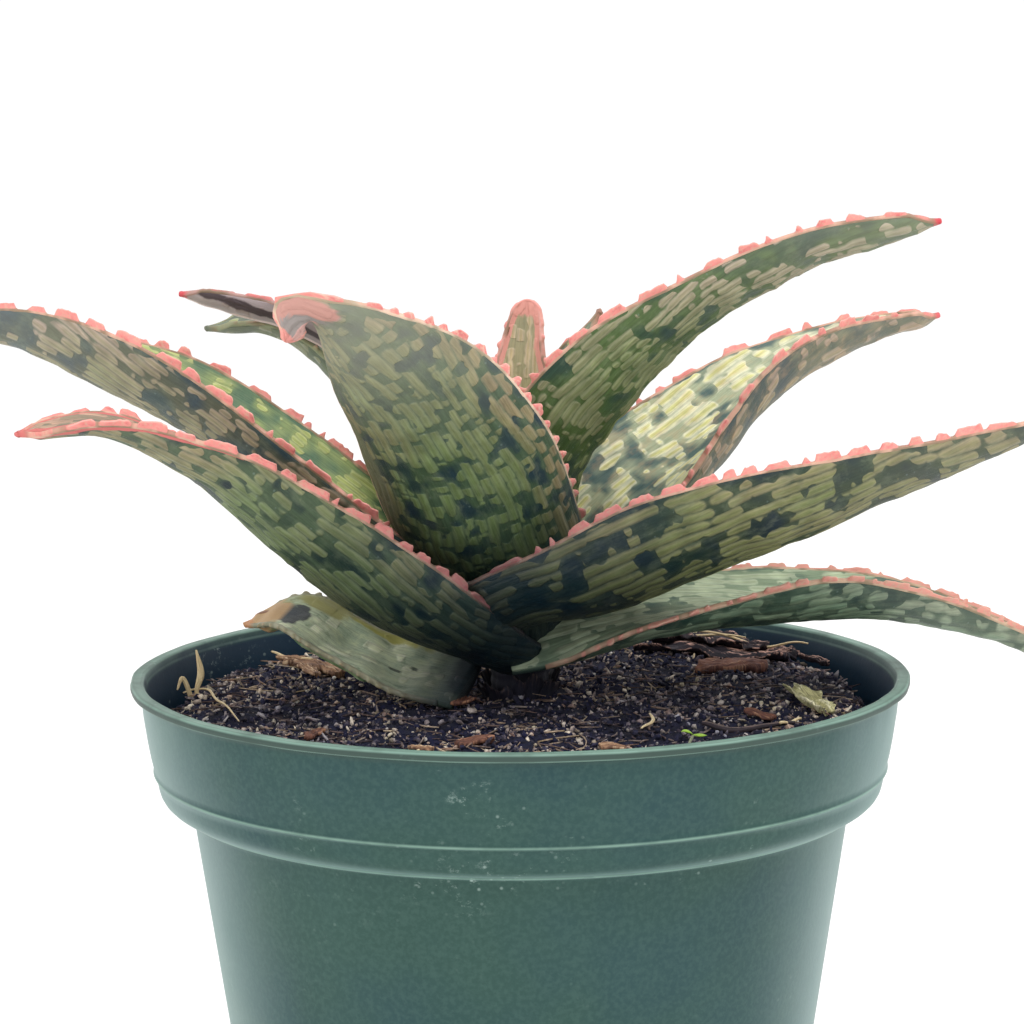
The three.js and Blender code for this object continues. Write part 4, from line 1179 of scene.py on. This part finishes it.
def stainLayout(look, d, across):
    strength, tint = np.zeros(len(d)), np.zeros((len(d), 3))
    for at, aside, long, wide, shade in look["stains"]:
        edge = np.hypot((d - at) / long, (across - aside) / wide)
        edge = edge + min(0.5, 0.06 * long) * sway(d * 0.9, across * 0.9, at)
        soft = 0.55 if long > 3 else 0.15
        here = 1 - smoothStep(edge, 1 - soft, 1 + 0.7 * soft)
        tint = np.where((here > 0)[:, None], np.array(colour(*shade))[:3], tint)
        strength = np.maximum(strength, here)
    return strength, tint


def leafMaterial(name, look):
    bench = NodeBench(name)
    place = bench.attribute("leafPlace", "Vector")
    along, _, face = place.split()
    upper, warm, patch = (bench.attribute(key) for key in ("upperFace", "warm", "patch"))
    rowPlace = bench.attribute("rowPlace")
    row = rowPlace.maths("FLOOR")
    bare, full = look["gapShare"] - look["gapSoft"], look["gapShare"] + look["gapSoft"]
    bed = patch.remap(bare, full)
    patch = patch + (bench.join(along * 0.33, row * 3.31, face).noise(1.0, 1) - 0.5) * 0.8
    blend = patch.remap(look["merge"] - 0.12, look["merge"] + 0.08)
    # each row breaks up along its length into streaks with round ends
    offRow = (rowPlace.maths("FRACT") - 0.5).maths("ABSOLUTE") * 2.0
    broken = bench.join(along / look["runLength"], row * 5.77, face).noise(1.0, 1, 0.5)
    limit = patch.remap(bare, full).line(0.0, 1.0, 0.8, look["fullest"])
    filled = (broken - limit).line(0.0, 0.09)
    wide = filled.maths("SQRT") * blend.line(0, 1, 0.84, 0.98)
    wobble = place.stretch(0.8, 1.6, 1).noise(1.0, 3, 0.6) - 0.5
    depth = wide - offRow + wobble * 0.5
    soft = look["softEdge"]
    spot = depth.remap(-0.3 * soft, 0.4 * soft) * filled.remap(0.0, 0.3 * soft)
    # ground, paler ground between close streaks, and the streaks
    patches = place.stretch(0.1, 0.12, 1).noise(1.0, 2).remap(0.35, 0.65)
    ground = bench.mix(patches, look["ground"], look["groundGreen"]).under(upper, look["upperGround"])
    between = bench.mix(upper, look["between"], look["upperBetween"])
    between = ground.under(bed * 0.8, between)
    rimTint = bench.mix(warm, look["rimCool"], look["rimWarm"]).under(upper, look["upperRim"])
    coreTint = bench.mix(warm, look["coreCool"], look["coreWarm"]).under(upper, look["upperCore"])
    pale = rimTint.under(depth.remap(0.1, 0.9), coreTint)
    pale = pale.shaded(bench.join(along, row, 3.0).noise(0.35, 1).line(0.3, 0.7, 0.78, 1.2))
    streak = place.stretch(0.22, 4.2, 1).noise(1.0, 4, 0.65)
    tint = between.under(spot, pale).shaded(streak.remap(0.25, 0.75, 0.76, 1.22))
    # wax scuffs and pin points on the dark skin
    pins = place.cells(0.6).remap(0.04, 0.12).inverse()
    scuff = place.stretch(1.6, 0.7, 1).noise(1.0, 5, 0.75).remap(0.62, 0.72)
    tint = tint.under(pins.maths("MAXIMUM", scuff) * spot.line(0, 1, 0.3, 0.1), look["waxTint"])
    mottle = place.stretch(0.32, 0.55, 1).noise(1.0, 5, 0.7)
    tint = tint.under(mottle.remap(0.46, 0.66, 0.0, look["mottle"]), look["mottleTint"])
    tint = tint.under(mottle.remap(0.46, 0.32, 0.0, look["mottle"]), look["mottleDark"])
    # painted highlight: a pale veil over the leaf toward its tip
    tint = tint.under(bench.attribute("tipSheen"), look["tipSheenTint"])
    stained = bench.attribute("stain") + wobble * 0.7
    tint = tint.under(stained.remap(0.2, 0.8, 0.0, 0.9), bench.attribute("stainTint", "Color"))
    blush = bench.attribute("flush") + wobble * 0.8
    tint = tint.under(blush.remap(0.3, 0.75, 0.0, 0.92), look["tipTint"])
    # painted shade toward the heart of the plant
    tint = tint.under(bench.attribute("heartShade"), look["heartTint"])
    fine = place.noise(4.5, 3, 0.7)
    bench.bump(spot * 0.8 + streak * 0.8 + fine * 0.25, 0.17, 0.75)
    return bench.surface(tint, fine.remap(0.3, 0.7, 0.44, 0.58), IOR=1.4)


def marginMaterial(name, look):
    bench = NodeBench(name)
    place = bench.attribute("leafPlace", "Vector")
    mottle = place.stretch(0.5, 1.2, 1).noise(1.0, 4, 0.65)
    pink = bench.mix(mottle.remap(0.45, 0.75), look["pink"], look["deepPink"])
    pink = pink.under(place.noise(2.2, 2).remap(0.46, 0.7, 0.0, 0.6), look["pale"])
    reach = bench.attribute("pink") + (mottle - 0.5) * 0.5
    streaked = place.stretch(0.28, 0.3, 1).noise(1.0, 2).remap(0.42, 0.6, 0.0, 0.75)
    tint = bench.mix(streaked, look["pale"], look["rimDark"]).under(reach.remap(0.2, 0.55), pink)
    tint = tint.under(bench.attribute("outer").remap(0.2, 1.0, 0.0, 0.75), look["toothEdge"])
    tint = tint.under(bench.attribute("flush"), look["tipTint"])
    # painted shade toward the heart of the plant
    tint = tint.under(bench.attribute("heartShade"), look["heartTint"])
    bench.bump(mottle, 0.2, 0.6)
    return bench.surface(tint, 0.5, IOR=1.4, Subsurface_Weight=0.08, Subsurface_Scale=0.0008)


# strength of the painted shade, deepest at the leaf's foot in the heart of the plant
def heartShade(look, share):
    return look["heartDark"] * (1 - smoothStep(share, 0.02, look["heartReach"]))


def buildBlade(name, form):
    look, length = form["look"], form["length"]
    columns = max(14, int(max(look["width"]) / look["gridAcross"]))
    end = length - look["rim"] * 0.8
    d = np.linspace(0, end, int(length / look["gridAlong"]))
    near = np.linspace(0, 1, 9)[1:-1]
    d = np.unique(np.concatenate([d, end - form["tipRound"] * (1 - np.sin(near * np.pi / 2))]))
    rows = len(d)
    outline, plain = halfWidth(form, d)
    half = np.maximum(outline - np.minimum(look["rim"], outline * 0.45), 0.04)
    s = np.linspace(-1, 1, columns)
    s = np.sign(s) * np.abs(s) ** 0.9
    full = look["thickness"] + (look["tipThickness"] - look["thickness"]) * d / length
    full = np.minimum(full, plain * 0.7 + 0.5)
    full = np.maximum(full * np.minimum(1, 0.25 + 0.75 * outline / plain), look["edgeThickness"] * 0.8)
    s = np.tile(s, rows)
    d, half, plain, full = (np.repeat(v, columns) for v in (d, half, plain, full))
    across, share = s * half, d / length
    edge = np.minimum(look["edgeThickness"], full)
    thick = edge + (full - edge) * (1 - np.abs(s) ** look["bulge"])
    wave = leafWave(form, d, across / plain)
    inner = smoothStep(1 - np.abs(s), 0, 0.15) * smoothStep(half, 0.2, 1.5)
    layers = []
    for upper in (1, 0):
        rowPlace, patch = streakLayout(look, d, across, half, upper)
        cover = smoothStep(patch, look["gapShare"] - 0.1, look["gapShare"] + 0.1)
        ridges = look["rowRise"] * cover * (0.5 - 0.5 * np.cos(fullTurn * rowPlace))
        seed = look["seed"] + 30.0 * upper
        pucker = sway(d / 4.6, across / 4.2, seed + 8.0) + 0.6 * sway(d / 1.9, across / 5, seed + 8.5)
        lift = (ridges + look["pucker"] * pucker * smoothStep(d, 0, 8)) * inner
        if upper:
            height = wave + thick * look["upperShare"] + lift * 0.7
        else:
            height = wave - thick * (1 - look["upperShare"]) - lift
        drift = 0.45 * sway(d / 9, across / 5 + 40, seed + 9.0)
        warm = look["warm"] + look["warmTip"] * smoothStep(share, 0.4, 1) + drift
        band = look["pinkBand"][0] + (look["pinkBand"][1] - look["pinkBand"][0]) * smoothStep(share, 0.6, 0.9)
        band = band * (0.6 + 0.8 * smoothNoise(d / 3, s * 2, seed + 6.0))
        flush = 1 - smoothStep(half - np.abs(across), band * 0.6, band * 1.1 + 0.05)
        tip = smoothStep(d, length - look["tipLength"] * 1.3, length - look["tipLength"] * 0.5)
        stain, stainTint = stainLayout(look, d, across)
        layers.append({
            "points": leafPoints(form, d, across, height),
            "rowPlace": rowPlace, "patch": patch,
            "warm": np.clip(warm + look["warmEdge"] * smoothStep(np.abs(s), 0.5, 1), 0, 1),
            "flush": np.maximum(np.where(band > 0.02, flush, 0), tip),
            "upperFace": 0 * d + upper, "stain": stain, "stainTint": stainTint,
            # painted shade toward the heart and a painted highlight veil toward the tip
            "heartShade": heartShade(look, share), "tipSheen": look["tipSheen"] * smoothStep(share, 0.45, 1.0),
            "leafPlace": np.stack([d, across + 100 * upper, 0 * d + upper * 9 + look["seed"] * 7], -1),
        })
    ring = 2 * columns

    def bothFaces(key):
        mesh = wrapped(*(layer[key].reshape(rows, columns, -1) for layer in layers)).reshape(rows * ring, -1)
        return mesh if mesh.shape[1] > 1 else mesh[:, 0]

    faces = ringFaces(rows, ring, caps=False)
    last = (rows - 1) * ring
    for k in range(columns - 1):
        m = ring - 1 - k
        faces.append([k, m, m - 1, k + 1])
        faces.append([last + k, last + k + 1, last + m - 1, last + m])
    table = {key: bothFaces(key) for key in layers[0]}
    form = table.pop("points"), faces, table
    addPiece(name + "_blade", form, leafMaterial(name + "_skin", look), [name])


# height of the toothed edge along its run: irregular slanted blocks with gaps between them
def toothRun(rng, look, run, tipAt):
    rise = np.zeros(len(run))
    at = rng.uniform(0, 1.5)
    while at < run[-1]:
        kind = "shortTooth" if rng.uniform() < look["shortTeeth"] else "toothLength"
        block = rng.uniform(*look[kind])
        ends = look["toothHeight"] * rng.uniform(0.6, 1.15, 2)
        ramps = np.minimum([rng.uniform(0.25, 0.9), rng.uniform(0.15, 0.4)], block * 0.45)
        if rng.uniform() < 0.5:
            ramps = ramps[::-1]
        inside = np.clip(np.minimum((run - at) / ramps[0], (at + block - run) / ramps[1]), 0, 1)
        slope = ends[0] + (ends[1] - ends[0]) * np.clip((run - at) / block, 0, 1)
        rise = np.maximum(rise, inside * slope * (1 + 0.3 * sway(run * 2.1, at, 6)))
        gap = look["toothGap"]
        at += block + gap[0] + (gap[1] - gap[0]) * rng.uniform() ** 1.7
    away = np.abs(run - tipAt) / tipAt
    tipFade = 0.25 + 0.75 * smoothStep(away, 0, look["toothFade"])
    return rise * tipFade * (0.3 + 0.7 * smoothStep(1 - away, 0.02, 0.2))


# section of the toothed edge: share of the rim inward or of the tooth outward, height, pinkness
toothSection = np.array([
    (-1, 0, 0.24, 0), (-0.35, 0, 0.30, 0), (0, 0, 0.27, 0.2), (0, 0.4, 0.2, 0.9), (0, 0.85, 0.13, 1),
    (0, 1, -0.08, 1), (0, 0.85, -0.28, 1), (0, 0.4, -0.38, 0.9), (0, 0, -0.46, 0.2), (-0.35, 0, -0.5, 0),
    (-1, 0, -0.45, 0),
])


def buildMargin(name, form):
    look, length, tipRound = form["look"], form["length"], form["tipRound"]
    straight = np.arange(look["toothStart"] * length, length - tipRound, look["toothStep"])
    bend = length - tipRound + tipRound * np.sin(np.linspace(0, np.pi / 2, 12))
    d = np.concatenate([straight, bend])
    w, _ = halfWidth(form, d)
    # the route runs up one edge, round the tip and down the other
    pathD, pathA = np.concatenate([d, d[-2::-1]]), np.concatenate([-w, w[-2::-1]])
    run = np.concatenate([[0], np.cumsum(np.hypot(np.diff(pathD), np.diff(pathA)))])
    tangent = unit(np.stack([np.gradient(pathD, run), np.gradient(pathA, run)], -1))
    teeth = toothRun(np.random.default_rng(look["seed"] * 13 + 1), look, run, run[len(d) - 1])
    ends = smoothStep(np.minimum(run, run[-1] - run), 0, 5)
    lowBand = look["band"] * smoothNoise(run / 6, 0, look["seed"] + 0.4) ** 1.5
    rise = 0.04 + np.maximum(teeth, lowBand) * ends * np.where(pathA < 0, *look["toothSides"])
    rim = np.minimum(look["rim"], np.maximum(np.abs(pathA), 0.25) * 0.9) + 0.25
    columns = len(toothSection)
    inward, outward, tall, pinkness = toothSection.T
    reach = rim[:, None] * inward + rise[:, None] * outward
    dd = (pathD[:, None] + tangent[:, 1:] * reach).ravel()
    aa = (pathA[:, None] - tangent[:, :1] * reach).ravel()
    s = pathA / plainHalf(look, pathD / length)
    runs = np.repeat(run, columns)
    height = np.tile(tall, len(pathD)) + leafWave(form, np.repeat(pathD, columns), np.repeat(s, columns))
    height += 0.9 * sway(runs * 0.5, 0, look["seed"] + 5.0) * np.maximum(reach, 0).ravel()
    height += 0.1 * sway(runs * 0.8, np.tile(outward, len(pathD)) * 3, 4)
    points = leafPoints(form, dd, aa, height)
    tooth = smoothStep(rise, 0.15, 0.6)[:, None]
    table = {
        "pink": (pinkness * (0.3 + 0.7 * tooth)).ravel(),
        "outer": (np.clip(1 - 6 * np.abs(outward - 1), 0, 1) * tooth).ravel(),
        "flush": smoothStep(dd, length - look["tipLength"], length - look["tipLength"] * 0.3),
        "heartShade": heartShade(look, np.clip(dd / length, 0, 1)),
        "leafPlace": np.stack([runs, aa, 0 * aa + look["seed"]], -1),
    }
    node = name + "_margin"
    form = points, ringFaces(len(pathD), columns), table
    addPiece(name + "_teeth", form, marginMaterial(name + "_rim", look), [node])


for name, look in leafSpecs.items():
    form = leafForm({**leafCommon, **look})
    buildBlade(name, form)
    buildMargin(name, form)
print("leaves ready")
